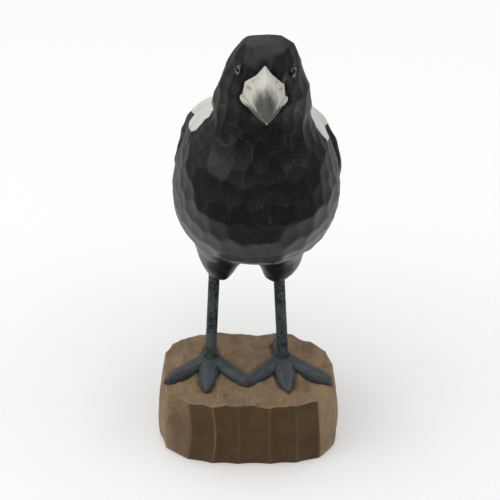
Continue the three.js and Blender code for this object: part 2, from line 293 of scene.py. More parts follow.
def ring_shell(rings: Array, **marks: Array) -> Shell:
    """A closed skin through rings of points whose last ring joins the first.

    Args:
        rings: Points shaped rows x columns x 3; both go once round.
        marks: Values shaped rows x columns.

    Returns:
        The skin.
    """
    quads = strips(*rings.shape[:2], len(rings))
    return Shell(rings.reshape(-1, 3), [quads], {m: v.ravel() for m, v in marks.items()}).facing_out()


def write_mark(mesh: Mesh, name: str, values: Array) -> None:
    """Writes one value for each vertex as a point attribute."""
    layer = mesh.attributes.get(name) or mesh.attributes.new(name, "FLOAT", "POINT")
    layer.data.foreach_set("value", np.asarray(values, np.float32).ravel())


def read_mark(mesh: Mesh, name: str) -> Array:
    """Reads a mark.

    Args:
        mesh: The mesh.
        name: The mark's name.

    Returns:
        One value for each vertex.
    """
    values = np.zeros(len(mesh.vertices), np.float32)
    mesh.attributes[name].data.foreach_get("value", values)
    return values


def read_vectors(rows: bpy.types.bpy_prop_collection, kind: str) -> Array:
    """Reads a vector from each row of a mesh's data.

    Args:
        rows: The rows.
        kind: The vector's name in them.

    Returns:
        The vectors, n x 3.
    """
    found = np.zeros(len(rows) * 3, np.float32)
    rows.foreach_get(kind, found)
    return found.reshape(-1, 3).astype(float)


def mesh_points(mesh: Mesh) -> Array:
    """A mesh's vertices, in millimetres."""
    return read_vectors(mesh.vertices, "co") / MM


def carve_together(name: str, joined: Sequence[Shell], cut: Sequence[Shell] = ()) -> Mesh:
    """Joins skins into one solid's skin and cuts others out of it.

    The marks of the points that the joining adds, on the lines where two skins meet, are the average of
    their neighbours'. The mark "seam" is 1 on those lines and 0 elsewhere.

    Args:
        name: The mesh's name.
        joined: The skins to join.
        cut: The skins to cut out.

    Returns:
        The finished mesh.
    """
    marks = sorted({mark for shell in joined for mark in shell.marks} | {KEPT})
    temporary = []
    for index, shell in enumerate([*joined, *cut]):
        count = len(shell.points)
        shell.marks = {mark: shell.marks.get(mark, np.zeros(count)) for mark in marks}
        shell.marks[KEPT] = np.ones(count)
        temporary.append(put_in_scene(f"{name}_{index}", shell.to_mesh(f"{name}_{index}")))
    for index, other in enumerate(temporary[1:], 1):
        step = temporary[0].modifiers.new(f"join{index}", "BOOLEAN")
        step.operation = "UNION" if index < len(joined) else "DIFFERENCE"
        step.solver = "MANIFOLD"
        step.object = other
    graph = bpy.context.evaluated_depsgraph_get()
    graph.update()
    whole = temporary[0].evaluated_get(graph)
    mesh = bpy.data.meshes.new_from_object(whole, preserve_all_data_layers=True, depsgraph=graph)
    mesh.name = name
    for made in temporary:
        old = made.data
        bpy.data.objects.remove(made)
        bpy.data.meshes.remove(old)
    fill_seams(mesh, marks)
    return mesh


def neighbours(mesh: Mesh) -> tuple[Array, Array]:
    """The mesh's edges, each once in either direction.

    Args:
        mesh: The mesh.

    Returns:
        The vertices at their starts and at their ends.
    """
    ends = np.zeros(len(mesh.edges) * 2, np.int32)
    mesh.edges.foreach_get("vertices", ends)
    one, other = ends.reshape(-1, 2).T
    return np.concatenate([one, other]), np.concatenate([other, one])


def fill_seams(mesh: Mesh, marks: Iterable[str], rounds: int = 5) -> None:
    """Gives the points on the seams the average marks of the points next to them.

    The first round averages the old points alone; the later ones also average the seams' own points,
    so that a seam's mark lies halfway between those of the two skins.

    Args:
        mesh: The joined mesh. Its mark "kept" is 1 on the old points, and is replaced by "seam".
        marks: The marks to fill.
        rounds: How often the marks are averaged.
    """
    kept = read_mark(mesh, KEPT) > 0.5
    start, end = neighbours(mesh)
    on_seam = ~kept[start]
    start, end = start[on_seam], end[on_seam]
    known = kept.astype(float)
    values = {mark: read_mark(mesh, mark).astype(float) for mark in marks}
    for _ in range(rounds):
        count = np.bincount(start, weights=known[end], minlength=len(kept))
        found = ~kept & (count > 0)
        for mark, value in values.items():
            total = np.bincount(start, weights=(value * known)[end], minlength=len(kept))
            value[found] = total[found] / count[found]
        known[found] = 1.0
    for mark, value in values.items():
        write_mark(mesh, mark, value)
    write_mark(mesh, SEAM, (~kept).astype(float))
    mesh.attributes.remove(mesh.attributes[KEPT])


def near_seams(mesh: Mesh, mark: str, reach: float) -> Array:
    """How near each point is to the seams where parts with and without a mark meet.

    Args:
        mesh: The joined mesh.
        mark: The mark, which is 1 on one part and 0 on the other.
        reach: The distance at which the result has fallen to exp(-1), in millimetres.

    Returns:
        exp(-(distance / reach) ** 2) for each vertex.
    """
    points, share = mesh_points(mesh), read_mark(mesh, mark)
    on_seam = points[(read_mark(mesh, SEAM) > 0.5) & (share > 0.02) & (share < 0.98)]
    low, high = on_seam.min(0) - 3 * reach, on_seam.max(0) + 3 * reach
    close = np.flatnonzero(((points > low) & (points < high)).all(1))
    picked = on_seam[:: max(len(on_seam) // SEAM_POINTS, 1)]
    nearest = np.full(len(points), 9.0 * reach)
    for start in range(0, len(close), BATCH // 2):
        some = close[start : start + BATCH // 2]
        apart = ((points[some, None, :] - picked) ** 2).sum(-1)
        nearest[some] = np.sqrt(apart.min(1))
    return bell(nearest, reach)


def move_points(mesh: Mesh, shift: Array) -> None:
    """Moves a mesh's vertices by shifts in millimetres."""
    mesh.vertices.foreach_set("co", ((mesh_points(mesh) + shift) * MM).astype(np.float32).ravel())
    mesh.update()


def ease(mesh: Mesh, share: Array, rounds: int, stride: float = 0.6) -> None:
    """Softens a mesh where a share is near 1, by moving its points to the middle of their neighbours.

    Args:
        mesh: The mesh.
        share: How strongly each point is moved. Points with next to none stay.
        rounds: How often.
        stride: How much of the way a point goes each time.
    """
    one, other = neighbours(mesh)
    free = share > 0.02
    one, other = one[free[one]], other[free[one]]
    before = mesh_points(mesh)
    points, size = before.copy(), len(before)
    count = np.maximum(np.bincount(one, minlength=size), 1)[:, None]
    for _ in range(rounds):
        sums = [np.bincount(one, weights=points[other, k], minlength=size) for k in range(3)]
        mean = np.where(free[:, None], np.stack(sums, -1) / count, points)
        points += stride * share[:, None] * (mean - points)
    move_points(mesh, points - before)


def finished_piece(name: str, mesh: Mesh, node: str, crease: float = 38) -> Piece:
    """Makes a mesh the visible piece that stands for a solid.

    Args:
        name: The piece's name.
        mesh: Its mesh, in place.
        node: The solid that it stands for.
        crease: Edges sharper than this, in degrees, stay crisp.

    Returns:
        The piece.
    """
    mesh.polygons.foreach_set("use_smooth", np.ones(len(mesh.polygons), bool))
    mesh.set_sharp_from_angle(angle=math.radians(crease))
    mesh.update()
    piece = put_in_scene(name, mesh)
    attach(piece, "root")
    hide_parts(node)
    triangles = sum(len(p.vertices) - 2 for p in mesh.polygons)
    LOG.info("%s: %d vertices, %d triangles", name, len(mesh.vertices), triangles)
    return piece


# Knife cuts


@dataclass
class KnifeCuts:
    """Flat, slightly hollow cuts that leave a smooth form faceted.

    Each cut is the plane that touches the form at the cut's middle, dished by its hollow. The carved
    surface is the lowest of the cuts that face the same way, so two cuts meet in a ridge.

    Attributes:
        middles: The cuts' middles.
        normals: Their directions.
        lifts: How much higher than the form each lies.
        hollow: How fast a cut rises from its middle, per millimetre squared.
        reach: How far from its middle the blade starts to leave the wood.
        leave: How fast it leaves, per millimetre squared.
        turned: The cosine of the angle from which a cut no longer faces the same way.
        fade: How fast such a cut fades out upwards.
        sink: How far the whole surface is let down, to keep the form's bulk.
        soft: How far from a ridge it is rounded, as a difference in height.
        most: The most that a ridge may stand up.
    """

    middles: Array
    normals: Array
    lifts: Array
    hollow: float = 0.012
    reach: float = 4.5
    leave: float = 0.05
    turned: float = 0.57
    fade: float = 40.0
    sink: float = 0.32
    soft: float = 0.1
    most: float = 0.9

    def carve(self, points: Array, normals: Array) -> tuple[Array, Array]:
        """Works out how far the carved surface lies from the smooth one.

        The height over a point p with normal n of a cut with middle c and normal m, at a distance of
        d = |c - p|, is (c - p) . m / (n . m) + hollow * d ** 2 + leave * max(d - reach, 0) ** 2 + lift.
        A cut that faces further away than the angle for it has fade * (turned - n . m) ** 2 added.

        Args:
            points: Points of the smooth form.
            normals: Its normals there.

        Returns:
            The height at each point, and how near a ridge it is, from 0 to 1.
        """
        shape = points.shape[:-1]
        p, n = points.reshape(-1, 3), normals.reshape(-1, 3)
        height, ridge = np.empty(len(p)), np.empty(len(p))
        plane = (self.middles * self.normals).sum(1)
        square = (self.middles**2).sum(1)
        for start in range(0, len(p), BATCH):
            q, m = p[start : start + BATCH], n[start : start + BATCH]
            facing = m @ self.normals.T
            apart = np.maximum(square - 2 * q @ self.middles.T + (q**2).sum(1)[:, None], 0)
            over = (plane - q @ self.normals.T) / np.maximum(facing, 0.3) + self.hollow * apart + self.lifts
            faded = self.fade * np.maximum(self.turned - facing, 0) ** 2
            over += faded + self.leave * np.maximum(np.sqrt(apart) - self.reach, 0) ** 2
            two = np.partition(over, 1, axis=1)[:, :2]
            gap = two[:, 1] - two[:, 0]
            rounded = np.maximum(1 - gap / self.soft, 0) ** 2 * self.soft / 4
            height[start : start + BATCH] = two[:, 0] - rounded
            ridge[start : start + BATCH] = np.exp(-gap / (self.soft * 0.8))
        height = self.most * np.tanh(height / self.most) - self.sink
        return height.reshape(shape), ridge.reshape(shape)


# The bird


@dataclass(frozen=True)
class Section:
    """A cross-section of the body: where its point on the back and its point on the front lie, its half
    width, how far it lies to the bird's left, how much narrower its front is, and its squareness."""

    back_y: float
    back_z: float
    front_y: float
    front_z: float
    half: float
    sway: float
    wedge: float = 0.0
    square: float = 2.1


@dataclass
class BodyForm:
    """The body as one smooth form from the crown to the tail's end."""

    sections: tuple[Section, ...] = (
        Section(-23, 178.3, -23, 178.3, 0, 3.6, 0.1),
        Section(-15.5, 176.8, -30, 176.6, 6.9, 3.5, 0.14),
        Section(-10.5, 174, -34.5, 172.5, 10.4, 3.2, 0.22),
        Section(-7.5, 169.5, -37, 167, 12.5, 2.8, 0.3),
        Section(-6, 164, -37.5, 161, 14.4, 2.5, 0.32),
        Section(-3.5, 158, -36.5, 153.5, 16.7, 2.6, 0.3),
        Section(1.5, 152, -35, 145.5, 18.6, 2.3, 0.2, 2.15),
        Section(11, 146, -36, 136, 21, 1.8, 0.1, 2.2),
        Section(25, 138, -39, 123.5, 27.4, 1.1, 0, 2.35),
        Section(40, 128, -41.5, 109, 31.5, 1.7, 0, 2.3),
        Section(54, 118, -38, 95.5, 33.6, 1.6, 0, 2.15),
        Section(65.5, 109, -26, 86, 32.3, 0.8, 0, 2.3),
        Section(75, 101.5, -6, 79.5, 28.6, 0.5, 0, 2.35),
        Section(83, 95, 18, 73, 22.5, 0, 0, 2.2),
        Section(91, 89, 42, 70.5, 18.8, 0.1, 0, 2.5),
        Section(99, 83, 68, 70, 16.6, 0.2, 0, 2.9),
        Section(108, 77, 92, 68, 15.8, 0.4, 0, 3.5),
        Section(117.5, 70.5, 110.5, 64.8, 15.9, 0.3, 0, 4.2),
        Section(126.5, 65, 124, 60.2, 16.2, 0.1, 0, 5),
    )

    def __post_init__(self) -> None:
        """Sets out the rails and the body's length up to each section."""
        self.last = len(self.sections) - 1
        self.rails = {size.name: [getattr(s, size.name) for s in self.sections] for size in fields(Section)}

        def strides(end: str) -> Array:
            """Lengths of the steps between the sections, along the back or the front."""
            y, z = (np.diff(self.rails[f"{end}_{axis}"]) for axis in "yz")
            return np.sqrt(y**2 + z**2)

        self.reaches = np.concatenate([[0], np.cumsum((strides("back") + strides("front")) / 2)])
        self.length = float(self.reaches[-1])

    def read(self, rail: str, section: Array) -> Array:
        """One of the body's sizes at a section number."""
        return spline(self.rails[rail], np.asarray(section, float))

    def section_at(self, reach: Array) -> Array:
        """The section number at a distance along the body, halfway between its back and its front."""
        return np.interp(reach, self.reaches, np.arange(self.last + 1))

    def point(self, section: Array, around: Array) -> Array:
        """Points of the smooth body.

        Each section is a superellipse: x = half * sin(a) ** (2 / n) + sway, and the share from the front
        point to the back one is (1 + cos(a) ** (2 / n)) / 2, with signed powers. A wedge scales x by
        1 + wedge * (2 * share - 1).

        Args:
            section: Section numbers.
            around: Angles around it: 0 is the back, half a turn the front, positive to the left.

        Returns:
            The points.
        """
        power = 2 / self.read("square", section)
        across = signed_power(np.sin(around), power)
        to_back = (1 + signed_power(np.cos(around), power)) / 2
        narrow = 1 + self.read("wedge", section) * (2 * to_back - 1)
        half = np.maximum(self.read("half", section), 0) * narrow
        y = blend(self.read("front_y", section), self.read("back_y", section), to_back)
        z = blend(self.read("front_z", section), self.read("back_z", section), to_back)
        return np.stack([half * across + self.read("sway", section), y, z], -1)

    def normal(self, section: Array, around: Array) -> Array:
        """Outward directions of the smooth body, from differences over small steps.

        Args:
            section: Section numbers.
            around: Angles around it.

        Returns:
            The directions.
        """
        step = 0.01
        s = np.clip(section, 0.3, self.last - 0.05)
        along = self.point(s + step, around) - self.point(s - step, around)
        turned = self.point(s, around + step) - self.point(s, around - step)
        return unit(np.cross(turned, along))

    def even_angles(self, section: Array, columns: int) -> Array:
        """Angles that part each section into equal lengths of its outline.

        Args:
            section: Section numbers, one for each row.
            columns: How many parts.

        Returns:
            Angles shaped rows x columns.
        """
        fine = np.linspace(0, TURN, 1441)
        ring = self.point(section[:, None], fine[None, :])
        run = np.linalg.norm(np.diff(ring, axis=1), axis=-1).cumsum(axis=1)
        run = np.concatenate([np.zeros((len(run), 1)), run], axis=1)
        share = run / np.maximum(run[:, -1:], 1e-9)
        rows = 2.0 * np.arange(len(run))[:, None]
        wanted = np.linspace(0, 1, columns, endpoint=False)[None, :] + rows
        found = np.interp(wanted.ravel(), (share + rows).ravel(), np.tile(fine, len(run)))
        return found.reshape(wanted.shape)


@dataclass
class KnifeWork:
    """How a form's cuts are set out: their sizes along and around it, at reaches along it."""

    reaches: tuple[float, ...]
    longs: tuple[float, ...]
    wides: tuple[float, ...]
    first: float = 2.0
    stray: float = 0.27
    tilt: float = 0.02
    uneven: float = 0.03
    places_a_cut: int = 8
    seed: int = 7

    def on_body(self, form: BodyForm) -> KnifeCuts:
        """Lays the cuts over the body, row after row, each strayed a little from its place.

        Args:
            form: The smooth body.

        Returns:
            The cuts.
        """
        rng = np.random.default_rng(self.seed)
        sections, angles = [], []
        reach = self.first
        while reach < form.length:
            long = float(np.interp(reach, self.reaches, self.longs))
            wide = float(np.interp(reach, self.reaches, self.wides))
            row = np.array([float(form.section_at(reach))])
            fine = form.point(row, np.linspace(0, TURN, 181))
            girth = float(np.linalg.norm(np.diff(fine, axis=0), axis=1).sum())
            count = max(round(girth / wide), 4)
            even = form.even_angles(row, count * self.places_a_cut)[0]
            places = np.arange(count) + rng.uniform(0, 1) + self.stray * rng.uniform(-1, 1, count)
            angles.append(even[(places * self.places_a_cut).astype(int) % len(even)])
            strayed = reach + self.stray * long * rng.uniform(-1, 1, count)
            sections.append(form.section_at(np.clip(strayed, 0.5, form.length - 0.5)))
            reach += long
        return self.cuts_at(form, np.concatenate(sections), np.concatenate(angles), rng)

    def cuts_at(self, form: BodyForm, section: Array, around: Array, rng: np.random.Generator) -> KnifeCuts:
        """Cuts at places on the body, each turned and lifted by a little chance.

        Args:
            form: The smooth body.
            section: Section numbers.
            around: Angles around the body.
            rng: The source of chance.

        Returns:
            The cuts.
        """
        normals = form.normal(section, around)
        turned = unit(normals + self.tilt * rng.normal(size=normals.shape))
        lifts = self.uneven * rng.normal(size=len(normals))
        return KnifeCuts(form.point(section, around), turned, lifts)


@dataclass
class Body:
    """The carved body: the smooth form with its knife cuts and its tail feathers."""

    form: BodyForm
    rows: int = 286
    columns: int = 240
    from_reach: float = 1.2
    cuts: KnifeWork = field(
        default_factory=lambda: KnifeWork(
            reaches=(0, 18, 34, 48, 75, 140, 170, 210),
            longs=(6, 6.5, 8, 8.5, 8.5, 8, 11, 14),
            wides=(6.5, 6, 6.5, 8, 8.5, 7.5, 7, 6),
        )
    )
    tail_from: float = 14.6
    tail_full: float = 16.4
    feather_lines: tuple[float, ...] = (-0.68, -0.34, 0.0, 0.34, 0.68)
    groove_depth: float = 0.55
    groove_half: float = 0.55

    def feather_grooves(self, section: Array, around: Array) -> Array:
        """Depth of the grooves between the tail's feathers.

        A groove follows a line at a fixed share of the half width, and its depth falls off as
        exp(-(distance / half) ** 2).

        Args:
            section: Section numbers.
            around: Angles around the body.

        Returns:
            The depths.
        """
        place = signed_power(np.sin(around), 2 / self.form.read("square", section))
        half = self.form.read("half", section)
        apart = np.min(np.abs(place[..., None] - np.array(self.feather_lines)), axis=-1) * half
        flat = np.abs(np.cos(around)) > 0.05
        grown = smooth(section, self.tail_from, self.tail_full)
        return self.groove_depth * grown * flat * bell(apart, self.groove_half)

    def shell(self, paint: PaintPlan) -> Shell:
        """The carved body's skin with its marks.

        Args:
            paint: Where the white paint goes.

        Returns:
            The skin, upright.
        """
        reach = np.linspace(self.from_reach, self.form.length, self.rows)
        section = self.form.section_at(reach)
        around = self.form.even_angles(section, self.columns)
        section = np.broadcast_to(section[:, None], around.shape)
        points, normals = self.form.point(section, around), self.form.normal(section, around)
        height, ridge = self.cuts.on_body(self.form).carve(points, normals)
        height = height - self.feather_grooves(section, around)
        white = paint.white(self.form, section, around)
        return closed_tube(points + normals * height[..., None], ridge=ridge, white=white)


@dataclass
class PaintPlan:
    """Where the white paint goes: nape and shoulders, a band on each wing, and the rump.

    Each edge is given at reaches along the body, as degrees from the middle of the back.
    """

    nape_reaches: tuple[float, ...] = (33, 37, 41, 44, 51, 58, 61, 63, 65, 67, 69, 76, 84, 92)
    nape_edge: tuple[float, ...] = (-25, 40, 74, 90, 90, 90, 89, 85, 75, 60, 48, 34, 20, -8)
    left_further: float = 4.5
    further_from: float = 50.0
    band_reaches: tuple[float, ...] = (58, 66, 76, 90, 106, 122, 134)
    band_middle: tuple[float, ...] = (50, 46, 40, 36, 33, 31, 30)
    band_half: tuple[float, ...] = (9, 10, 9.5, 8, 7, 5, -4)
    rump_half: float = 75.0
    rump_from: float = 136.0
    rump_to: float = 180.0

    def white(self, form: BodyForm, section: Array, around: Array, on_wing: bool = False) -> Array:
        """Works out how far inside the white paint's edge places on the body lie.

        Args:
            form: The smooth body.
            section: Section numbers.
            around: Angles around the body.
            on_wing: Whether they are on a wing rather than on the body itself.

        Returns:
            Distances in millimetres, negative outside the white.
        """
        reach = np.interp(section, np.arange(form.last + 1), form.reaches)
        from_back = np.degrees(np.abs((around + math.pi) % TURN - math.pi))
        degree = np.maximum(form.read("half", section), 4) * math.pi / 180
        fallen = reach - self.left_further * np.clip(np.sin(around), 0, 1) * (reach > self.further_from)
        inside = (np.interp(fallen, self.nape_reaches, self.nape_edge) - from_back) * degree
        if on_wing:
            middle = np.interp(reach, self.band_reaches, self.band_middle)
            half = np.interp(reach, self.band_reaches, self.band_half)
            inside = np.maximum(inside, (half - np.abs(from_back - middle)) * degree)
            inside = np.where(reach > self.band_reaches[-1], NO_WHITE, inside)
        else:
            rump = np.minimum(reach - self.rump_from, self.rump_to - reach)
            inside = np.maximum(inside, np.minimum((self.rump_half - from_back) * degree, rump))
        return np.clip(inside, NO_WHITE, -NO_WHITE)


@dataclass
class Wing:
    """A folded wing: a slab over the body, its rear part stepped into long feathers."""

    form: BodyForm
    side: Side
    start: float = 6.9
    end: float = 15.9
    proud: float = 1.9
    sunk: float = 2.5
    feathers: int = 5
    tread: float = 0.92
    step: float = 0.8
    steps_from: float = 0.35
    steps_to: float = 0.55
    front_rise: float = 6
    tip_fall: float = 8
    tip_share: float = 0.35
    left_drop: float = 9.0
    shoulder: float = 1.2
    shoulder_at: float = 0.21
    shoulder_reach: float = 0.09
    along_knots: tuple[float, ...] = (0, 0.1, 0.25, 0.45, 0.65, 0.82, 0.93, 1)
    upper: tuple[float, ...] = (52, 33, 25, 20, 17, 15, 15, 24)
    lower: tuple[float, ...] = (54, 60, 66, 76, 80, 68, 48, 28)
    rows: int = 170
    per_feather: int = 11
    under_columns: int = 8
    edge_power: int = 12
    feather_cuts: float = 0.45
    feather_ridges: float = 0.5
    cut_first: float = 0.03
    cut_knots: tuple[float, ...] = (0, 0.4, 0.6, 1)
    cut_longs: tuple[float, ...] = (0.075, 0.09, 0.2, 0.25)
    stray_along: float = 0.3
    stray_across: float = 0.25
    cut_tilt: float = 0.035
    seed: int = 21

    def edge(self, degrees: Sequence[float], along: Array) -> Array:
        """A smooth curve through one of the wing's edges, as an angle at a share of its length."""
        place = np.interp(along, self.along_knots, np.arange(len(self.along_knots)))
        return np.radians(spline(degrees, place))

    def shell(self, paint: PaintPlan) -> Shell:
        """The wing's skin with its marks.

        Over the wing the height of a feather rises from its upper side to its lower one by the step and
        falls back in a short riser. The slab's edges are rounded by (1 - |2 a - 1| ** power) ** 0.5, where a
        is the share across.

        Args:
            paint: Where the white paint goes.

        Returns:
            The skin, upright.
        """
        over = np.linspace(0, 1, self.feathers * self.per_feather + 1)
        under = np.linspace(1, 0, self.under_columns)
        across = np.concatenate([over, under])[None, :]
        on_top = np.concatenate([np.ones(len(over)), np.zeros(len(under))])[None, :] > 0
        along = np.linspace(0, 1, self.rows)[:, None]
        part = np.where(across >= 1, 1.0, (across * self.feathers) % 1.0)
        tread = np.where(part < self.tread, part / self.tread, (1 - part) / (1 - self.tread))
        stepped = np.clip((along - self.steps_from) / (self.steps_to - self.steps_from), 0, 1)
        tip = self.tip_fall * (1 - along) + self.tip_share
        taper = np.minimum(1, np.minimum(self.front_rise * along, tip))
        rounded = np.sqrt(np.maximum(1 - np.abs(2 * across - 1) ** self.edge_power, 0))
        shoulder = self.shoulder * bell(along - self.shoulder_at, self.shoulder_reach)
        stand = self.proud + (shoulder if self.side is Side.RIGHT else 0)
        proud = taper * (stand - self.step * stepped * (1 - tread)) * rounded
        height = np.where(on_top, proud, -self.sunk)
        section = np.broadcast_to(blend(self.start, self.end, along), height.shape)
        drop = self.left_drop if self.side is Side.LEFT else 0.0
        drop = math.radians(drop) * np.sin(math.pi * along)
        angle = blend(self.edge(self.upper, along), self.edge(self.lower, along), across) + drop * across
        angle = angle * self.side.value
        points, normals = self.form.point(section, angle), self.form.normal(section, angle)
        carved, ridge = self.cuts().carve(points, normals)
        height = height + np.where(on_top, carved * blend(1, self.feather_cuts, stepped), 0)
        return closed_tube(
            points + normals * height[..., None],
            ridge=np.where(on_top, ridge * blend(1, self.feather_ridges, stepped), 0),
            white=paint.white(self.form, section, angle, on_wing=True),
        )

    def cuts(self) -> KnifeCuts:
        """The wing's knife cuts: short ones over its front, long ones down its feathers.

        Returns:
            The cuts.
        """
        rng = np.random.default_rng(self.seed + self.side.value)
        shares, crosses = [], []
        at, count = self.cut_first, self.feathers
        while at < 1:
            long = float(np.interp(at, self.cut_knots, self.cut_longs))
            shares.append(at + long * self.stray_along * rng.uniform(-1, 1, count))
            strayed = np.arange(count) + 0.5 + self.stray_across * rng.uniform(-1, 1, count)
            crosses.append(strayed / count)
            at += long
        along, across = np.clip(np.concatenate(shares), 0, 1), np.concatenate(crosses)
        angle = blend(self.edge(self.upper, along), self.edge(self.lower, along), across)
        section = blend(self.start, self.end, along)
        work = KnifeWork((0,), (0,), (0,), tilt=self.cut_tilt)
        return work.cuts_at(self.form, section, angle * self.side.value, rng)


@dataclass
class Thigh:
    """A thigh: a rounded lobe under the belly, cut with the knife. The two spread apart to their tops."""

    side: Side
    middle: Triple = (14.0, 4.5, 83.0)
    radii: Triple = (10.7, 12.5, 17.3)
    tilt: float = -14.0
    spread: float = 14.0
    rows: int = 44
    columns: int = 72
    cut_count: int = 46
    stray: float = 0.08
    cut_tilt: float = 0.05
    seed: int = 31

    def shell(self) -> Shell:
        """The lobe's skin.

        It is an ellipsoid, radii * (sin v cos u, sin v sin u, cos v), turned about X and then about Y.
        Its cuts' middles lie on a golden spiral over it.

        Returns:
            The skin, upright.
        """
        radii, place = np.array(self.radii), np.array(self.middle) * (self.side.value, 1, 1)
        turn = turning(1, self.side.value * self.spread) @ turning(0, self.tilt)

        def on_lobe(directions: Array) -> tuple[Array, Array]:
            """Points and normals of the ellipsoid in directions from its middle."""
            return directions * radii @ turn.T + place, unit(directions / radii) @ turn.T

        points, normals = on_lobe(over_ball(self.rows, self.columns))
        rng = np.random.default_rng(self.seed + self.side.value)
        index = np.arange(self.cut_count) + 0.5
        height = 1 - 2 * index / self.cut_count
        heading = index * math.pi * (3 - math.sqrt(5))
        flat = np.sqrt(1 - height**2)
        spiral = np.stack([flat * np.cos(heading), flat * np.sin(heading), height], -1)
        middles, facing = on_lobe(unit(spiral + self.stray * rng.normal(size=spiral.shape)))
        facing = unit(facing + self.cut_tilt * rng.normal(size=facing.shape))
        carved, ridge = KnifeCuts(middles, facing, np.zeros(len(middles))).carve(points, normals)
        points = points + normals * carved[..., None]
        ones = np.ones(carved.shape)
        return closed_tube(points, ridge=ridge, white=NO_WHITE * ones, thigh=ones)


@dataclass
class Bill:
    """The bill: an upper half with its ridge, a gable at the face, on a wider lower half."""

    root: Triple = (2.3, -27.0, 158.2)
    tip: Triple = (3.2, -65.0, 159.4)
    upper_half: float = 9.0
    upper_power: float = 1.2
    lower_half: float = 8.6
    lower_power: float = 1.5
    ridge_height: float = 15.4
    ridge_power: float = 0.85
    lower_depth: float = 5.4
    roof_from: float = 0.18
    roof_to: float = 0.45
    slope: float = 0.68
    shoulder: float = 0.47
    roundness: float = 2.1
    round_power: float = 0.6
    edge: int = 12
    ridge_soft: float = 0.05
    flare_at: float = 0.19
    flare_reach: float = 0.07
    flare_size: float = 1.0
    mouth_line: float = 0.125
    slate_from: float = 0.36
    slate_to: float = 0.74
    lower_sooner: float = 0.22
    nostril: tuple[float, float] = (0.3, 0.62)
    corner: tuple[float, float] = (0.31, 0.86)
    rows: int = 110
    columns: int = 144

    def roof(self, side: Array, along: Array) -> Array:
        """Height of the upper half, as a share of its ridge's height.

        At the face it is a gable, 1 - slope * side, softened at its ridge, between two flat shoulders;
        further out it is (1 - side ** roundness) ** power.

        Args:
            side: The share of the way from the middle line to the side.
            along: The share of the bill's length.

        Returns:
            The height's share.
        """
        shoulder = self.shoulder * (1 - side**self.edge)
        soft = np.sqrt(side**2 + self.ridge_soft**2) - self.ridge_soft
        gable = np.maximum(1 - self.slope * soft, shoulder) * np.minimum(1, self.edge * (1 - side))
        rounded = np.maximum(1 - side**self.roundness, 0) ** self.round_power
        return blend(gable, rounded, smooth(along, self.roof_from, self.roof_to))

    def shell(self) -> Shell:
        """The bill's skin with its marks.

        Returns:
            The skin, upright.
        """
        along = np.linspace(0, 0.992, self.rows)[:, None]
        turn = round_turn(self.columns)
        rise, across = np.sin(turn), np.cos(turn)
        narrowing = 1 - along**self.lower_power
        flare = self.flare_size * bell(along - self.flare_at, self.flare_reach)
        lower = self.lower_half * narrowing + flare
        upper = self.upper_half * (1 - along**self.upper_power)
        half = blend(lower, upper, np.clip(rise / self.mouth_line, 0, 1))
        ridge_height = self.ridge_height * (1 - along) ** self.ridge_power
        side = np.abs(across) + 0 * along
        below = self.lower_depth * narrowing * rise
        height = np.where(rise > 0, ridge_height * self.roof(side, along), below)
        start, end = np.array(self.root), np.array(self.tip)
        line = start + (end - start) * along[..., None]
        points = line + np.stack([half * across, 0 * height, height], -1)
        return closed_tube(points, **self.marks(along, rise, side, half))

    def marks(self, along: Array, rise: Array, side: Array, half: Array) -> dict[str, Array]:
        """The bill's marks: "bill" is 1 all over it, "slate" is how dark its paint is, "mouth" the line
        between its halves, and "dark" its middle line, nostrils and the dashes by its corners.

        Args:
            along: The share of the bill's length.
            rise: The sine of the angle round it.
            side: The share of the way from the middle line to the side.
            half: Its half width.

        Returns:
            The marks.
        """
        upper = rise > 0.1
        sooner = self.lower_sooner * smooth(-rise, -0.15, 0.08)
        slate = smooth(along + sooner, self.slate_from, self.slate_to)
        slate = slate * (1 - 0.3 * smooth(side, 0.9, 1) * upper) * (1 - 0.8 * smooth(along, 0.97, 0.99))
        mouth = bell(rise - self.mouth_line, 0.04) * smooth(along, 0.1, 0.3)
        middle = bell(side * half, 0.3) * smooth(along, 0.62, 0.8) * (1 - smooth(along, 0.96, 0.985))
        from_nostril, from_corner = along - self.nostril[0], along - self.corner[0]
        nostril = bell(from_nostril, 0.02) * bell(side - self.nostril[1] - from_nostril, 0.05)
        corner = bell(from_corner, 0.07) * bell(side - self.corner[1] + 0.75 * from_corner, 0.028)
        dark = np.maximum.reduce([middle * 0.8, nostril, corner * 0.8]) * (rise > 0)
        found = {"bill": 1, "slate": slate, "mouth": mouth, "dark": dark, "white": NO_WHITE}
        return {mark: value * np.ones(side.shape) for mark, value in found.items()}


@dataclass(frozen=True)
class EyePlace:
    """Where one eye is and how its lid is cut: the section and the angle round it, in degrees; half its
    opening's width; how far it is turned; and from where its rim catches the light."""

    section: float
    around: float
    open_wide: float
    turned: float
    lit: float


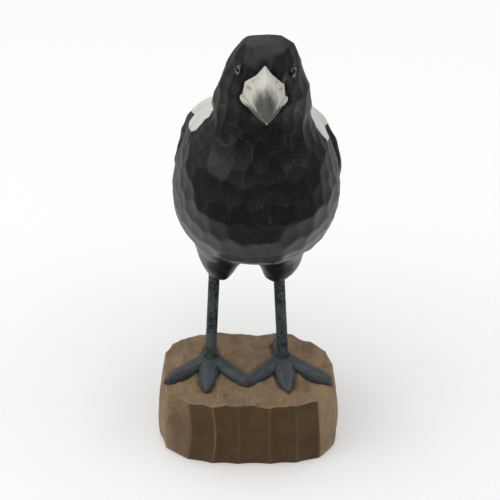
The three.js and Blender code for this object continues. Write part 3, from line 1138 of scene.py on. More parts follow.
@dataclass
class Eye:
    """A glass bead in its place in the face, with the carved lid round it."""

    form: BodyForm
    side: Side
    right: EyePlace = EyePlace(3.1, 114.0, 1.3, 6.0, -35.0)
    left: EyePlace = EyePlace(3.2, 113.0, 0.85, 32.0, 90.0)
    radius: float = 2.1
    out: float = 0.9
    lid_radius: float = 0.4
    lid_height: float = 0.75
    lid_follow: float = 0.85
    open_high: float = 1.5

    def place(self) -> EyePlace:
        """This eye's place."""
        return self.left if self.side is Side.LEFT else self.right

    def axis(self) -> tuple[Array, Array]:
        """Works out where the bead is.

        Returns:
            Its middle and the direction that it looks in, upright.
        """
        section = np.array([self.place().section])
        angle = np.array([math.radians(self.place().around) * self.side.value])
        normal = self.form.normal(section, angle)[0]
        return self.form.point(section, angle)[0] + normal * (self.out - self.radius), normal

    def frame(self) -> Array:
        """Works out how the eye is turned.

        Returns:
            Directions across it: forwards, upwards and outwards.
        """
        normal = self.axis()[1]
        forward = unit(np.cross(np.array([0, 0, 1.0]), normal) * -self.side.value)
        return np.stack([forward, unit(np.cross(forward, normal) * self.side.value), normal])

    def bead(self, extra: float = 0.0) -> Shell:
        """The bead's skin.

        Args:
            extra: How much bigger than the bead it is.

        Returns:
            The skin, upright, with the mark "pupil", the distance from its looking axis.
        """
        local = over_ball(40, 56, 0.03)
        points = self.axis()[0] + (self.radius + extra) * local @ self.frame()
        return closed_tube(points, pupil=np.hypot(local[..., 0], local[..., 1]))

    def lid(self) -> Shell:
        """The lid: a ring round the bead, an ellipse carried round with a round section.

        Returns:
            The skin, upright.
        """
        a, b = round_turn(72).T, round_turn(20)
        wide, high = self.place().open_wide + self.lid_radius, self.open_high + self.lid_radius
        turned = math.radians(self.place().turned)
        across = wide * np.cos(a) * math.cos(turned) - high * np.sin(a) * math.sin(turned)
        up = wide * np.cos(a) * math.sin(turned) + high * np.sin(a) * math.cos(turned)
        level = np.sqrt(np.maximum(self.radius**2 - self.lid_follow * (across**2 + up**2), 0))
        grow = 1 + self.lid_radius * np.cos(b) / np.hypot(across, up)
        level = level + self.lid_height * self.lid_radius * np.sin(b)
        local = np.stack([across * grow, up * grow, level], -1)
        # The mark "rim" is a painted highlight on the lid's inner edge, on the side towards the place's light
        # angle, and on the left eye on the opposite side too.
        towards = np.cos(a - math.radians(self.place().lit))
        towards = np.abs(towards) if self.side is Side.LEFT else towards
        lit = smooth(towards, 0.45, 0.9) * smooth(-np.cos(b), -0.5, 0.3)
        ones = np.ones(lit.shape)
        return ring_shell(self.axis()[0] + local @ self.frame(), lid=ones, rim=lit, white=NO_WHITE * ones)


@dataclass
class Leg:
    """A leg: a rod wound with thread from the thigh to the foot."""

    side: Side
    radius: float = 2.35
    offset: float = -0.6
    top: Triple = (13.0, 7.0, 72.0)
    foot: Triple = (15.2, 3.4, 27.8)
    fit: float = 0.3
    pitch: float = 0.82
    groove: float = 0.28
    uneven: float = 0.55
    end_round: float = 0.4
    end_share: float = 0.9
    columns: int = 40
    rows_a_turn: int = 7

    def ends(self) -> tuple[Array, Array]:
        """The leg's upper and lower end."""
        shift, offset = (self.side.value, 1, 1), (self.offset, 0, 0)
        return np.array(self.top) * shift + offset, np.array(self.foot) * shift + offset

    def length(self) -> float:
        """The leg's length, from end to end."""
        top, foot = self.ends()
        return float(np.linalg.norm(top - foot))

    def tube(self, radius: Array, level: Array, turn: Array, **marks: Array) -> Shell:
        """A tube about the leg's axis.

        Args:
            radius: Its radius at each point.
            level: Heights over the foot's end, as a column.
            turn: Angles round it, as a row.
            marks: Values at each point.

        Returns:
            The skin, in place.
        """
        top, foot = self.ends()
        up = unit(top - foot)
        across = unit(np.cross(np.array([0, 1.0, 0]), up))
        frame = np.stack([across, np.cross(up, across), up])
        local = np.stack([radius * np.cos(turn), radius * np.sin(turn), level + 0 * turn], -1)
        return closed_tube(foot + local @ frame, **marks)

    def socket(self) -> Shell:
        """The hole that the leg's ends sit in: a plain tube a little wider and longer than the rod.

        Returns:
            The skin, in place.
        """
        level = np.linspace(-self.fit, self.length() + self.fit, 12)[:, None]
        return self.tube(self.radius + self.fit + 0 * level, level, round_turn(48))

    def shell(self) -> Shell:
        """The wound rod's skin with its mark "gap", how deep between two turns of the thread.

        The radius dips by groove * (1 - |cos(pi * t)|) ** 1.5 between turns, where t is the height in
        pitches less the share of the way round, and a slow and a quick wandering of the thread.

        Returns:
            The skin, in place.
        """
        length, side = self.length(), self.side.value
        level = np.linspace(0, length, round(length / self.pitch * self.rows_a_turn))[:, None]
        turn = round_turn(self.columns)
        slow = 0.12 * np.sin(level * 0.9 + 2 * np.sin(turn))
        quick = 0.1 * np.sin(level * 2.3 + turn + side)
        phase = level / self.pitch - turn / TURN + (slow + quick)
        gap = (1 - np.abs(np.cos(math.pi * phase))) ** 1.5
        rough = 1 - self.uneven * (0.5 + 0.5 * np.sin(level * 0.37 + 1.3 * side + turn))
        from_end = np.clip(np.minimum(level, length - level) / self.end_round, 0, 1)
        radius = (self.radius - self.groove * gap * rough) * blend(self.end_share, 1, np.sqrt(from_end))
        return self.tube(radius, level, turn, gap=gap * rough)


@dataclass
class Bird:
    """The bird: body, wings, thighs and bill as one carved piece, with its beads set in."""

    form: BodyForm = field(default_factory=BodyForm)
    lean: float = 2.0
    pivot: float = 58.0
    bead_gap: float = 0.06
    eased_from: float = 67.0
    eased_full: float = 78.0
    thigh_reach: float = 8.0
    thigh_rounds: int = 360
    root_reach: float = 1.5
    root_depth: float = 0.6

    def leaned(self, shell: Shell) -> Shell:
        """A skin leaned as the bird is, to its left."""
        return shell.leaned(turning(1, self.lean), np.array([0, 0, self.pivot]))

    def build(self, paint: BirdPaint) -> Piece:
        """Carves the bird out of its forms and paints it.

        Args:
            paint: The bird's paint.

        Returns:
            The piece.
        """
        plan = PaintPlan()
        shells = [Body(self.form).shell(plan), Bill().shell()]
        for side in Side:
            shells += [Thigh(side).shell(), Wing(self.form, side).shell(plan), Eye(self.form, side).lid()]
        beads = [Eye(self.form, side).bead(self.bead_gap) for side in Side]
        legs = [Leg(side).socket() for side in Side]
        mesh = carve_together("bird", [self.leaned(s) for s in shells], [*map(self.leaned, beads), *legs])
        above_ends = smooth(mesh_points(mesh)[:, 2], self.eased_from, self.eased_full)
        ease(mesh, near_seams(mesh, "thigh", self.thigh_reach) * above_ends, self.thigh_rounds)
        at_bill = near_seams(mesh, "bill", self.root_reach)
        on_face = read_mark(mesh, "bill") < 0.3
        outward = read_vectors(mesh.vertex_normals, "vector")
        move_points(mesh, -outward * (self.root_depth * at_bill * on_face)[:, None])
        write_mark(mesh, "root", at_bill)
        piece = finished_piece("carved_bird", mesh, "bird")
        paint.dress(piece)
        return piece

    def build_eyes(self, glass: EyeGlass) -> list[Piece]:
        """Makes the two beads.

        Args:
            glass: Their finish.

        Returns:
            The two pieces.
        """
        made = []
        for side in Side:
            mesh = self.leaned(Eye(self.form, side).bead()).to_mesh(f"{side.word}_bead")
            piece = finished_piece(f"{side.word}_eye_bead", mesh, f"{side.word}_eye")
            glass.dress(piece)
            made.append(piece)
        return made


# The block


@dataclass(frozen=True)
class Toe:
    """One toe, carved in relief: its heading in degrees from straight ahead to the outside, its length,
    its width at its root and near its tip, its height at its tip, and the power of its taper."""

    heading: float
    length: float
    width: float
    tip_width: float
    tip_height: float
    taper: float = 1.0


@dataclass
class Feet:
    """The feet's shapes: a low hub round the leg and flat-topped toes, proud of the block's top."""

    toes: dict[Side, tuple[Toe, ...]] = field(
        default_factory=lambda: {
            Side.RIGHT: (
                Toe(2.6, 26.2, 9.4, 2.4, 2.6, 2.1),
                Toe(-38.7, 26.2, 7.2, 5, 3.9),
                Toe(45, 24, 7.2, 5, 4.4),
                Toe(179, 15, 5.5, 3.5, 2.6),
            ),
            Side.LEFT: (
                Toe(4.1, 26.8, 9.4, 2.4, 2.6, 2.1),
                Toe(-36.9, 25.4, 8, 5, 3.9),
                Toe(46, 26.8, 7.2, 5, 4.4),
                Toe(190, 18, 5.5, 3.5, 2.6),
            ),
        }
    )
    section: tuple[tuple[float, float], ...] = ((0, -1), (1, -1), (1, 0.5), (0.62, 0.94), (0, 1))
    hub_radii: Triple = (5.2, 4.8, 4.1)
    root_height: float = 3.9
    sink: float = 4.0
    crest_reach: float = 0.16
    bluntness: float = 0.9
    blunt_power: float = 9.0
    droop: float = 4.0
    level: float = 26.0
    middle_x: float = -0.6
    hub_x: float = 15.2
    hub_y: float = 5.6
    rows: int = 60
    steps: int = 9

    def half_width(self, toe: Toe, along: Array) -> Array:
        """Half a toe's width at a share of its length, with its blunt end."""
        blunt = np.sqrt(np.maximum(1 - self.bluntness * along**self.blunt_power, 0))
        return blend(toe.width, toe.tip_width, along**toe.taper) / 2 * blunt

    def hub_place(self, side: Side) -> Array:
        """The middle of a foot's hub."""
        return np.array([self.middle_x + side.value * self.hub_x, self.hub_y, self.level])

    def placing(self, side: Side, toe: Toe) -> tuple[Array, Array]:
        """The turn and the shift that put a toe in its place."""
        return turning(2, toe.heading * side.value) @ turning(0, self.droop), self.hub_place(side)

    def shell(self, side: Side, toe: Toe) -> Shell:
        """One toe's skin with its marks "toe" and "ridge".

        Its cross-section runs in straight lines through the section's corners, up one side and down the
        other, scaled by the toe's half width and its height above the wood.

        Args:
            side: The foot's side.
            toe: The toe.

        Returns:
            The skin, in place.
        """
        half = np.array(self.section)
        corners = np.vstack([half, half[-2::-1] * (-1, 1)])
        last = len(corners) - 1
        turn = np.arange(last * self.steps)[None, :] / self.steps
        across, up = (np.interp(turn, np.arange(last + 1), corners[:, k]) for k in range(2))
        along = np.linspace(0, 1, self.rows)[:, None]
        height = blend(self.root_height, toe.tip_height, along)
        level = up * np.where(up > 0, height, self.sink)
        local = np.stack([across * self.half_width(toe, along), -along * toe.length + 0 * up, level], -1)
        turned, shift = self.placing(side, toe)
        at_crest = bell(np.abs(across) - half[3][0], self.crest_reach)
        crest = at_crest * (up > 0.7) * smooth(along, 0.15, 0.4)
        return closed_tube(local @ turned.T + shift, toe=np.ones(level.shape), ridge=crest)

    def hub(self, side: Side) -> Shell:
        """A foot's hub, an ellipsoid whose lower half is sunk in the block.

        Args:
            side: The foot's side.

        Returns:
            The skin, in place.
        """
        ball = over_ball(32, 64)
        points = ball * np.array(self.hub_radii) + self.hub_place(side)
        return closed_tube(points, toe=np.ones(ball.shape[:2]))

    def inside(self, points: Array) -> Array:
        """How far points lie inside the nearest toe's outline, seen from above.

        Args:
            points: Points, n x 3.

        Returns:
            Distances in millimetres, negative outside.
        """
        best = np.full(len(points), -50.0)
        for side, toes in self.toes.items():
            for toe in toes:
                turned, shift = self.placing(side, toe)
                local = (points - shift) @ turned
                ahead = -local[:, 1]
                beyond = np.maximum(ahead - toe.length, np.maximum(-ahead, 0))
                aside = np.abs(local[:, 0]) - self.half_width(toe, np.clip(ahead / toe.length, 0, 1))
                outside = np.where(beyond > 0, np.hypot(beyond, np.maximum(aside, 0)), aside)
                best = np.maximum(best, -outside)
        return best


@dataclass
class Block:
    """The block: a rounded square with gouged flutes down its sides and the feet on its top."""

    half_width: float = 36.7
    half_depth: float = 34.3
    height: float = 27.0
    squareness: float = 3.6
    top_fall: float = 1.5
    fall_power: float = 2.5
    bulge: float = 1.3
    low_bulge: float = 0.8
    corner_cuts: tuple[Triple, ...] = ((42, 4.8, 0.34), (135, 1.2, 0.3), (225, 1.6, 0.3))
    flutes: int = 21
    flute_depth: float = 0.85
    flute_start: float = -0.009
    flute_stray: float = 0.004
    flute_strays: int = 7
    stray_from: float = 1 / 21
    columns_a_flute: int = 18
    bow: float = 0.009
    rim: float = 0.012
    mark_steps: tuple[float, float] = (9.0, 11.0)
    mark_stray: float = 3.5
    mark_narrow: float = 1.25
    mark_bend: float = 70.0
    mark_uneven: float = 0.3
    mark_soft: float = 0.1
    mark_most: float = 0.8
    mark_mean: float = 0.4
    top_depth: float = 1.6
    dip: tuple[float, float, float, float] = (-1.0, 31.0, 11.0, 14.0)
    dip_depth: float = 1.7
    stop_depth: float = 0.75
    stop_away: float = 0.4
    stop_reach: float = 1.1
    bed_depth: float = 0.5
    bed_reach: float = 5.0
    halo_reach: float = 1.3
    ridge_power: int = 10
    straight_ridges: float = 0.35
    rim_share: float = 0.8
    flute_seed: int = 5
    mark_seed: int = 11
    side_rows: int = 64
    top_rows: int = 84
    feet: Feet = field(default_factory=Feet)

    def outline(self, place: Array) -> tuple[Array, Array]:
        """The outline from above, read at shares of its length.

        Its radius at a heading h is (|cos h / width| ** n + |sin h / depth| ** n) ** (-1 / n), less
        depth * exp(-((h - at) / reach) ** 2) for each corner cut.

        Args:
            place: Shares of the outline's length.

        Returns:
            Points and outward directions, as x and y.
        """
        heading = np.linspace(0, TURN, 2881)
        c, s, n = np.abs(np.cos(heading)), np.abs(np.sin(heading)), self.squareness
        radius = ((c / self.half_width) ** n + (s / self.half_depth) ** n) ** (-1 / n)
        for at, depth, reach in self.corner_cuts:
            radius = radius - depth * bell(heading - math.radians(at), reach)
        curve = np.stack([radius * np.cos(heading), radius * np.sin(heading)], -1)
        run = np.concatenate([[0], np.linalg.norm(np.diff(curve, axis=0), axis=1).cumsum()])
        share = run / run[-1]

        def at_place(where: Array) -> Array:
            """Points of the curve at shares of its length."""
            return np.stack([np.interp(where % 1, share, curve[:, k]) for k in range(2)], -1)

        ahead = at_place(place + 0.002) - at_place(place - 0.002)
        return at_place(place), unit(np.stack([ahead[..., 1], -ahead[..., 0]], -1))

    def shell(self) -> Shell:
        """The block's skin without the feet, with its mark "ridge".

        The flutes' depth goes with |cos(pi * flutes * turn)|, so they meet in crisp ridges, which wander
        a little on their way up.

        Returns:
            The skin, in place.
        """
        rng = np.random.default_rng(self.flute_seed)
        turn = np.linspace(0, 1, self.flutes * self.columns_a_flute, endpoint=False)[None, :]
        up = np.concatenate([np.linspace(0, 1, self.side_rows) ** 0.9, np.ones(self.top_rows)])[:, None]
        inward = 1 - np.linspace(1, 0.02, self.top_rows + 1)[1:]
        inward = np.concatenate([np.zeros(self.side_rows), inward])[:, None]
        bows = rng.uniform(-1, 1, self.flutes)
        bow = np.interp(turn * self.flutes, np.arange(self.flutes + 1), np.append(bows, bows[0]))
        stray = self.flute_stray * np.sin(TURN * self.flute_strays * (turn - self.stray_from))
        place = turn + self.flute_start + stray + self.bow * bow * np.sin(math.pi * up)
        points, outward = self.outline(place)
        wave = np.abs(np.cos(math.pi * self.flutes * turn)) + 0 * up
        barrel = self.bulge * (np.sin(math.pi * up**self.low_bulge) - up)
        rim = points + outward * (barrel - self.flute_depth * wave)[..., None]
        level = up * (self.height - self.top_fall * (1 - inward) ** self.fall_power) + 0 * wave
        found = np.concatenate([rim * (1 - inward[..., None]), level[..., None]], -1)
        found[..., 2] += self.gouged_top(found) * smooth(up, 0.9, 1)
        ridge = (1 - wave) ** self.ridge_power * (inward <= 0) * blend(self.straight_ridges, 1, bow**2)
        return closed_tube(found, ridge=ridge + self.rim_share * ((up >= 1) & (inward <= self.rim)))

    def gouged_top(self, points: Array) -> Array:
        """How far the top is cut down: shallow gouge marks, a wide dip, and a stop along the toes.

        The marks are the lowest of dished cuts about scattered middles, ((narrow * dx) ** 2 + dy ** 2) /
        bend and a little chance. The dip goes with exp(-(dx / wide) ** 2 - (dy / long) ** 2), the stop
        with exp(-(distance / reach) ** 2) about a line just outside the toes' outlines, and the bed that
        the toes lie in with the same about the outlines.

        Args:
            points: Points of the block's skin.

        Returns:
            Heights to add.
        """
        rng = np.random.default_rng(self.mark_seed)
        steps = (np.arange(-40, 41, step) for step in self.mark_steps)
        grid = np.stack(np.meshgrid(*steps), -1).reshape(-1, 2)
        middles = grid + rng.uniform(-self.mark_stray, self.mark_stray, grid.shape)
        flat = points.reshape(-1, 3)
        x, y = flat[:, 0], flat[:, 1]
        apart = ((x[:, None] - middles[:, 0]) * self.mark_narrow) ** 2 + (y[:, None] - middles[:, 1]) ** 2
        cuts = apart / self.mark_bend + rng.uniform(0, self.mark_uneven, len(middles))
        two = np.partition(cuts, 1, axis=1)[:, :2]
        rounded = np.maximum(1 - (two[:, 1] - two[:, 0]) / self.mark_soft, 0) ** 2 * self.mark_soft / 4
        dished = self.top_depth * (np.minimum(two[:, 0] - rounded, self.mark_most) - self.mark_mean)
        dip_x, dip_y, wide, long = self.dip
        dip = self.dip_depth * bell(x - dip_x, wide) * bell(y - dip_y, long)
        away = -self.feet.inside(flat)
        stop = self.stop_depth * bell(away - self.stop_away, self.stop_reach)
        bed = self.bed_depth * bell(np.maximum(away, 0), self.bed_reach)
        return (dished - dip - stop - bed).reshape(points.shape[:-1])

    def build(self, wood: BlockWood) -> Piece:
        """Carves the block with its feet and dresses it.

        Args:
            wood: The block's finish.

        Returns:
            The piece.
        """
        shells = [self.shell()]
        for side, toes in self.feet.toes.items():
            shells += [*(self.feet.shell(side, toe) for toe in toes), self.feet.hub(side)]
        mesh = carve_together("base", shells, [Leg(side).socket() for side in Side])
        outside = np.maximum(-self.feet.inside(mesh_points(mesh)), 0)
        write_mark(mesh, "halo", bell(outside, self.halo_reach))
        piece = finished_piece("carved_block", mesh, "base")
        wood.dress(piece)
        return piece


# Shader maths


class Value:
    """A number that varies over a surface, so that shader maths reads as Python expressions."""

    def __init__(self, tree: bpy.types.NodeTree, socket: bpy.types.NodeSocket) -> None:
        """Wraps an output socket of a tree."""
        self.tree = tree
        self.socket = socket

    def _math(self, operation: str, *inputs: Value | float) -> Value:
        """Adds one Math node.

        Args:
            operation: What it works out.
            inputs: What from.

        Returns:
            Its result.
        """
        node = self.tree.nodes.new("ShaderNodeMath")
        node.operation = operation
        for slot, value in zip(node.inputs, inputs):
            if isinstance(value, Value):
                self.tree.links.new(value.socket, slot)
            else:
                slot.default_value = value
        return Value(self.tree, node.outputs[0])

    def __add__(self, other: Value | float) -> Value:
        """self + other."""
        return self._math("ADD", self, other)

    __radd__ = __add__

    def __sub__(self, other: Value | float) -> Value:
        """self - other."""
        return self._math("SUBTRACT", self, other)

    def __rsub__(self, other: float) -> Value:
        """other - self."""
        return self._math("SUBTRACT", other, self)

    def __mul__(self, other: Value | float) -> Value:
        """self * other."""
        return self._math("MULTIPLY", self, other)

    def __pow__(self, power: float) -> Value:
        """self ** power."""
        return self._math("POWER", self, power)

    def wave(self) -> Value:
        """The sine of it."""
        return self._math("SINE", self)

    def size(self) -> Value:
        """Its size without its sign."""
        return self._math("ABSOLUTE", self)

    def most(self, other: Value | float) -> Value:
        """The greater of two values."""
        return self._math("MAXIMUM", self, other)

    def least(self, other: Value | float) -> Value:
        """The lesser of two values."""
        return self._math("MINIMUM", self, other)

    def step(self, low: float, high: float) -> Value:
        """A smooth step from 0 at low to 1 at high.

        Args:
            low: Where it starts.
            high: Where it ends; it may be the lesser of the two.

        Returns:
            The value.
        """
        flip = low > high
        node = self.tree.nodes.new("ShaderNodeMapRange")
        node.interpolation_type = "SMOOTHSTEP"
        ends = (min(low, high), max(low, high), float(flip), float(not flip))
        for slot, value in zip(node.inputs[1:5], ends):
            slot.default_value = value
        self.tree.links.new(self.socket, node.inputs[0])
        return Value(self.tree, node.outputs[0])


Tint = Value | Colour


class Finish:
    """A material under construction: one Principled shader and the nodes that feed it."""

    def __init__(self, name: str) -> None:
        """Starts the material.

        Args:
            name: Its name.
        """
        self.material = bpy.data.materials.new(name)
        self.material.use_nodes = True
        self.tree = self.material.node_tree
        self.shader = self.tree.nodes["Principled BSDF"]
        self.place = Value(self.tree, self.node("ShaderNodeTexCoord").outputs["Object"])

    def node(self, kind: str, settings: dict | None = None, **inputs: object) -> bpy.types.Node:
        """Adds a node.

        Args:
            kind: The node's type.
            settings: Its settings, which are set first.
            inputs: Values or links for its sockets, by name with _ for a space.

        Returns:
            The node.
        """
        made = self.tree.nodes.new(kind)
        for key, value in (settings or {}).items():
            setattr(made, key, value)
        for key, value in inputs.items():
            slot = made.inputs[key.replace("_", " ")]
            if isinstance(value, Value):
                self.tree.links.new(value.socket, slot)
            else:
                slot.default_value = value
        return made

    def mark(self, name: str) -> Value:
        """A mark on the mesh, as a value."""
        node = self.node("ShaderNodeAttribute", {"attribute_name": name})
        return Value(self.tree, node.outputs["Fac"])

    def noise(
        self, size: float, stretch: Triple = (1, 1, 1), detail: float = 3, rough: float = 0.55
    ) -> Value:
        """Fractal noise from 0 to 1.

        Args:
            size: The size of its largest features, in millimetres.
            stretch: How many times longer they are along X, Y and Z.
            detail: How many finer layers it has.
            rough: How strong they are.

        Returns:
            The value.
        """
        placed = self.node("ShaderNodeMapping", Vector=self.place, Scale=tuple(1 / s for s in stretch))
        vector = Value(self.tree, placed.outputs[0])
        sizes = {"Scale": 1 / (size * MM), "Detail": detail, "Roughness": rough}
        return Value(self.tree, self.node("ShaderNodeTexNoise", Vector=vector, **sizes).outputs["Fac"])

    def axes(self) -> tuple[Value, Value, Value]:
        """The place's X, Y and Z, in millimetres."""
        parts = self.node("ShaderNodeSeparateXYZ", Vector=self.place).outputs
        return tuple(Value(self.tree, part) * (1 / MM) for part in parts)

    def facing(self, axis: int) -> Value:
        """How squarely the surface faces along X, Y or Z (0, 1 or 2), either way, from 0 to 1."""
        normal = Value(self.tree, self.node("ShaderNodeNewGeometry").outputs["Normal"])
        return Value(self.tree, self.node("ShaderNodeSeparateXYZ", Vector=normal).outputs[axis]).size()

    def rings(self, middle: tuple[float, float], width: float, wander: Value) -> Value:
        """Growth rings: the sine of the distance from a line along Y, a full turn to each ring.

        Args:
            middle: The line's x and z, in millimetres.
            width: The width of a ring, in millimetres.
            wander: What is added to the distance, in millimetres.

        Returns:
            A value from -1 to 1.
        """
        x, _, z = self.axes()
        away = ((x - middle[0]) ** 2 + (z - middle[1]) ** 2) ** 0.5 + wander
        return (away * (TURN / width)).wave()

    def mix(self, share: Value | float, a: Tint, b: Tint) -> Value:
        """Mixes two colours.

        Args:
            share: How far from a to b, from 0 to 1.
            a: The colour at 0.
            b: The colour at 1.

        Returns:
            The colour.
        """
        node = self.tree.nodes.new("ShaderNodeMix")
        node.data_type = "RGBA"
        for index, value in ((0, share), (6, a), (7, b)):
            if isinstance(value, Value):
                self.tree.links.new(value.socket, node.inputs[index])
            else:
                node.inputs[index].default_value = (*value, 1.0) if isinstance(value, tuple) else value
        return Value(self.tree, node.outputs[2])

    def bump(self, height: Value, depth: float, strength: float = 1.0) -> None:
        """Feeds a height to the shader's normal.

        Args:
            height: The height, where 1 is the full depth.
            depth: The full depth, in millimetres.
            strength: How strongly it shows.
        """
        node = self.node("ShaderNodeBump", Strength=strength, Distance=depth * MM, Height=height)
        self.tree.links.new(node.outputs["Normal"], self.shader.inputs["Normal"])

    def feed(self, **sockets: Value | float | Colour) -> None:
        """Sets the shader's sockets.

        Args:
            sockets: What to set them to, by name with _ for a space.
        """
        for key, value in sockets.items():
            slot = self.shader.inputs[key.replace("_", " ")]
            if isinstance(value, Value):
                self.tree.links.new(value.socket, slot)
            else:
                slot.default_value = (*value, 1.0) if isinstance(value, tuple) else value

    def put_on(self, piece: Piece) -> None:
        """Gives the material to a piece."""
        piece.data.materials.clear()
        piece.data.materials.append(self.material)


@dataclass(frozen=True)
class BirdPaint:
    """Satin black over knife-cut wood, with white patches and a cream bill brushed to slate."""

    black: Colour = (0.0068, 0.0084, 0.0084)
    brown_black: Colour = (0.0110, 0.0096, 0.0070)
    # Near-black painted shade, laid in the creases, in the groove round the bill's root and under the thighs.
    black_deep: Colour = (0.004, 0.004, 0.004)
    worn: Colour = (0.040, 0.045, 0.043)
    # Serves both the wear on the knife-cut ridges and a painted reflection, the lighter streaked band over
    # the lower belly.
    rubbed: Colour = (0.060, 0.062, 0.056)
    # Painted light on the thighs' upper and outer sides, carrying the belly's painted reflection down them.
    thigh_painted_light: Colour = (0.092, 0.094, 0.087)
    white: Colour = (0.76, 0.745, 0.70)
    white_shade: Colour = (0.60, 0.57, 0.50)
    cream: Colour = (0.68, 0.655, 0.575)
    cream_shade: Colour = (0.50, 0.49, 0.42)
    slate: Colour = (0.046, 0.058, 0.058)
    moss: Colour = (0.105, 0.096, 0.072)
    mouth_dark: Colour = (0.05, 0.055, 0.055)
    lid: Colour = (0.018, 0.022, 0.023)
    # Painted highlight on the lids' rims, where they face the light.
    rim: Colour = (0.42, 0.44, 0.43)
    ring_middle: tuple[float, float] = (13.9, 115.0)
    ring_width: float = 1.9
    # Where the painted shade under the thighs begins, a line that falls towards the rear by the slope.
    thigh_shade_from: float = 74.6
    thigh_shade_slope: float = 0.47
    # Below this height the lower belly is lightened with a painted reflection, reaching full strength the
    # second distance further down.
    reflection_below: float = 110.0
    rubbed_over: float = 22.0

    def dress(self, piece: Piece) -> None:
        """Paints the bird.

        Args:
            piece: The bird.
        """
        f = Finish("bird_paint")
        streaks = f.noise(1.4, (1, 7, 2.2), 4, 0.6)
        is_bill = (f.mark("bill") + (f.noise(2.5) - 0.5) * 0.2).step(0.46, 0.54)
        base = self.patched(f, self.blackened(f, streaks))
        base = f.mix(is_bill, base, self.bill(f))
        base = f.mix(f.mark("lid") * 0.8, base, self.lid)
        # Painted highlight along part of each lid's rim.
        base = f.mix(f.mark("rim") * 0.8, base, self.rim)
        f.feed(Base_Color=base, Roughness=0.38 + streaks * 0.14 + is_bill * 0.08, Specular_IOR_Level=0.4)
        f.bump(streaks * 0.6 + f.noise(0.5, (1, 6, 2), 3) * 0.4, 0.06, 0.5)
        f.put_on(piece)

    def blackened(self, f: Finish, streaks: Value) -> Value:
        """The black coat, worn on its ridges, with a painted reflection lightening the lower belly, painted
        light on the thighs' sides and painted shade under them.

        Args:
            f: The finish.
            streaks: The brush's fine streaks.

        Returns:
            The colour.
        """
        base = f.mix(f.noise(16).step(0.35, 0.68), self.black, self.brown_black)
        base = f.mix(streaks.step(0.5, 0.8) * 0.35, base, self.worn)
        _, y, z = f.axes()
        # Painted reflection: the lower belly is lightened in streaks, more towards the bottom.
        belly_reflection = (self.reflection_below - z).step(0, self.rubbed_over) * streaks.step(0.42, 0.7) * 0.55
        base = f.mix(belly_reflection, base, self.rubbed)
        # Painted light and shade on the thighs: below a slanting line, except where they face sideways, they
        # are painted near black as shade; the rest of them is painted lighter, as if lit.
        under = self.thigh_shade_from - z - y * self.thigh_shade_slope + (f.noise(4) - 0.5) * 6
        under = under.step(-1.2, 1.2) * (1 - f.facing(0).step(0.5, 0.72))
        base = f.mix(f.mark("thigh") * (1 - under), base, self.thigh_painted_light)
        base = f.mix(f.mark("thigh") * under * 0.95, base, self.black_deep)
        wear = f.mark("ridge").step(0.2, 0.9) * f.noise(8, (1, 1, 1), 4).step(0.3, 0.6)
        base = f.mix(wear * 0.5, base, self.rubbed)
        ring = f.rings(self.ring_middle, self.ring_width, f.noise(14, (1, 3, 1), 2) * 3.0)
        return f.mix(ring.step(0.2, 1.0) * f.noise(12).step(0.45, 0.62) * 0.2, base, self.worn)

    def patched(self, f: Finish, base: Value) -> Value:
        """Lays the white patches over the coat, and paints shade into the seams, where the skins meet and
        round the sockets, and into the groove round the bill's root.

        Args:
            f: The finish.
            base: The coat.

        Returns:
            The colour.
        """
        share = (f.mark("white") + (f.noise(3.2) - 0.5) * 3.0).step(-0.25, 0.25)
        white = f.mix(f.noise(3, (1, 4, 1.5), 4).step(0.45, 0.75) * 0.6, self.white, self.white_shade)
        base = f.mix(share, base, white)
        # Painted shade: the seams are darkened, less so where the white paint lies, and the groove round the
        # bill's root more strongly.
        seam = f.mark("seam") * (0.5 - share * 0.42)
        return f.mix(seam.most(f.mark("root").step(0.15, 0.6) * 0.92), base, self.black_deep)

    def bill(self, f: Finish) -> Value:
        """The bill's cream, brushed to slate at its tip, with its dark mouth line and nostrils.

        Args:
            f: The finish.

        Returns:
            The colour.
        """
        brushed = f.noise(0.9, (1, 7, 5), 4, 0.65)
        smudge = f.noise(3.2, (1, 1.6, 1.3), 4, 0.6)
        slate = (f.mark("slate") * 1.1 + (brushed - 0.5) * 0.6 + (smudge - 0.5) * 0.8).step(0.05, 1.1)
        tint = f.mix(smudge.step(0.4, 0.62), self.slate, self.moss)
        cream = f.mix(brushed.step(0.42, 0.75) * 0.8, self.cream, self.cream_shade)
        dark = (f.mark("mouth") * 0.6).most(f.mark("dark") * 0.85)
        return f.mix(dark, f.mix(slate, cream, tint), self.mouth_dark)


@dataclass(frozen=True)
class EyeGlass:
    """A dark brown glass bead with a black middle."""

    brown: Colour = (0.014, 0.008, 0.005)
    black: Colour = (0.003, 0.003, 0.003)

    def dress(self, piece: Piece) -> None:
        """Gives the bead its glass.

        Args:
            piece: The bead.
        """
        f = Finish("eye_glass")
        share = f.mark("pupil").step(0.5, 0.62) * (0.6 + f.noise(0.5).step(0.3, 0.7) * 0.4)
        f.feed(Base_Color=f.mix(share, self.black, self.brown), Roughness=0.06)
        f.feed(Coat_Weight=1.0, Coat_Roughness=0.02)
        f.put_on(piece)


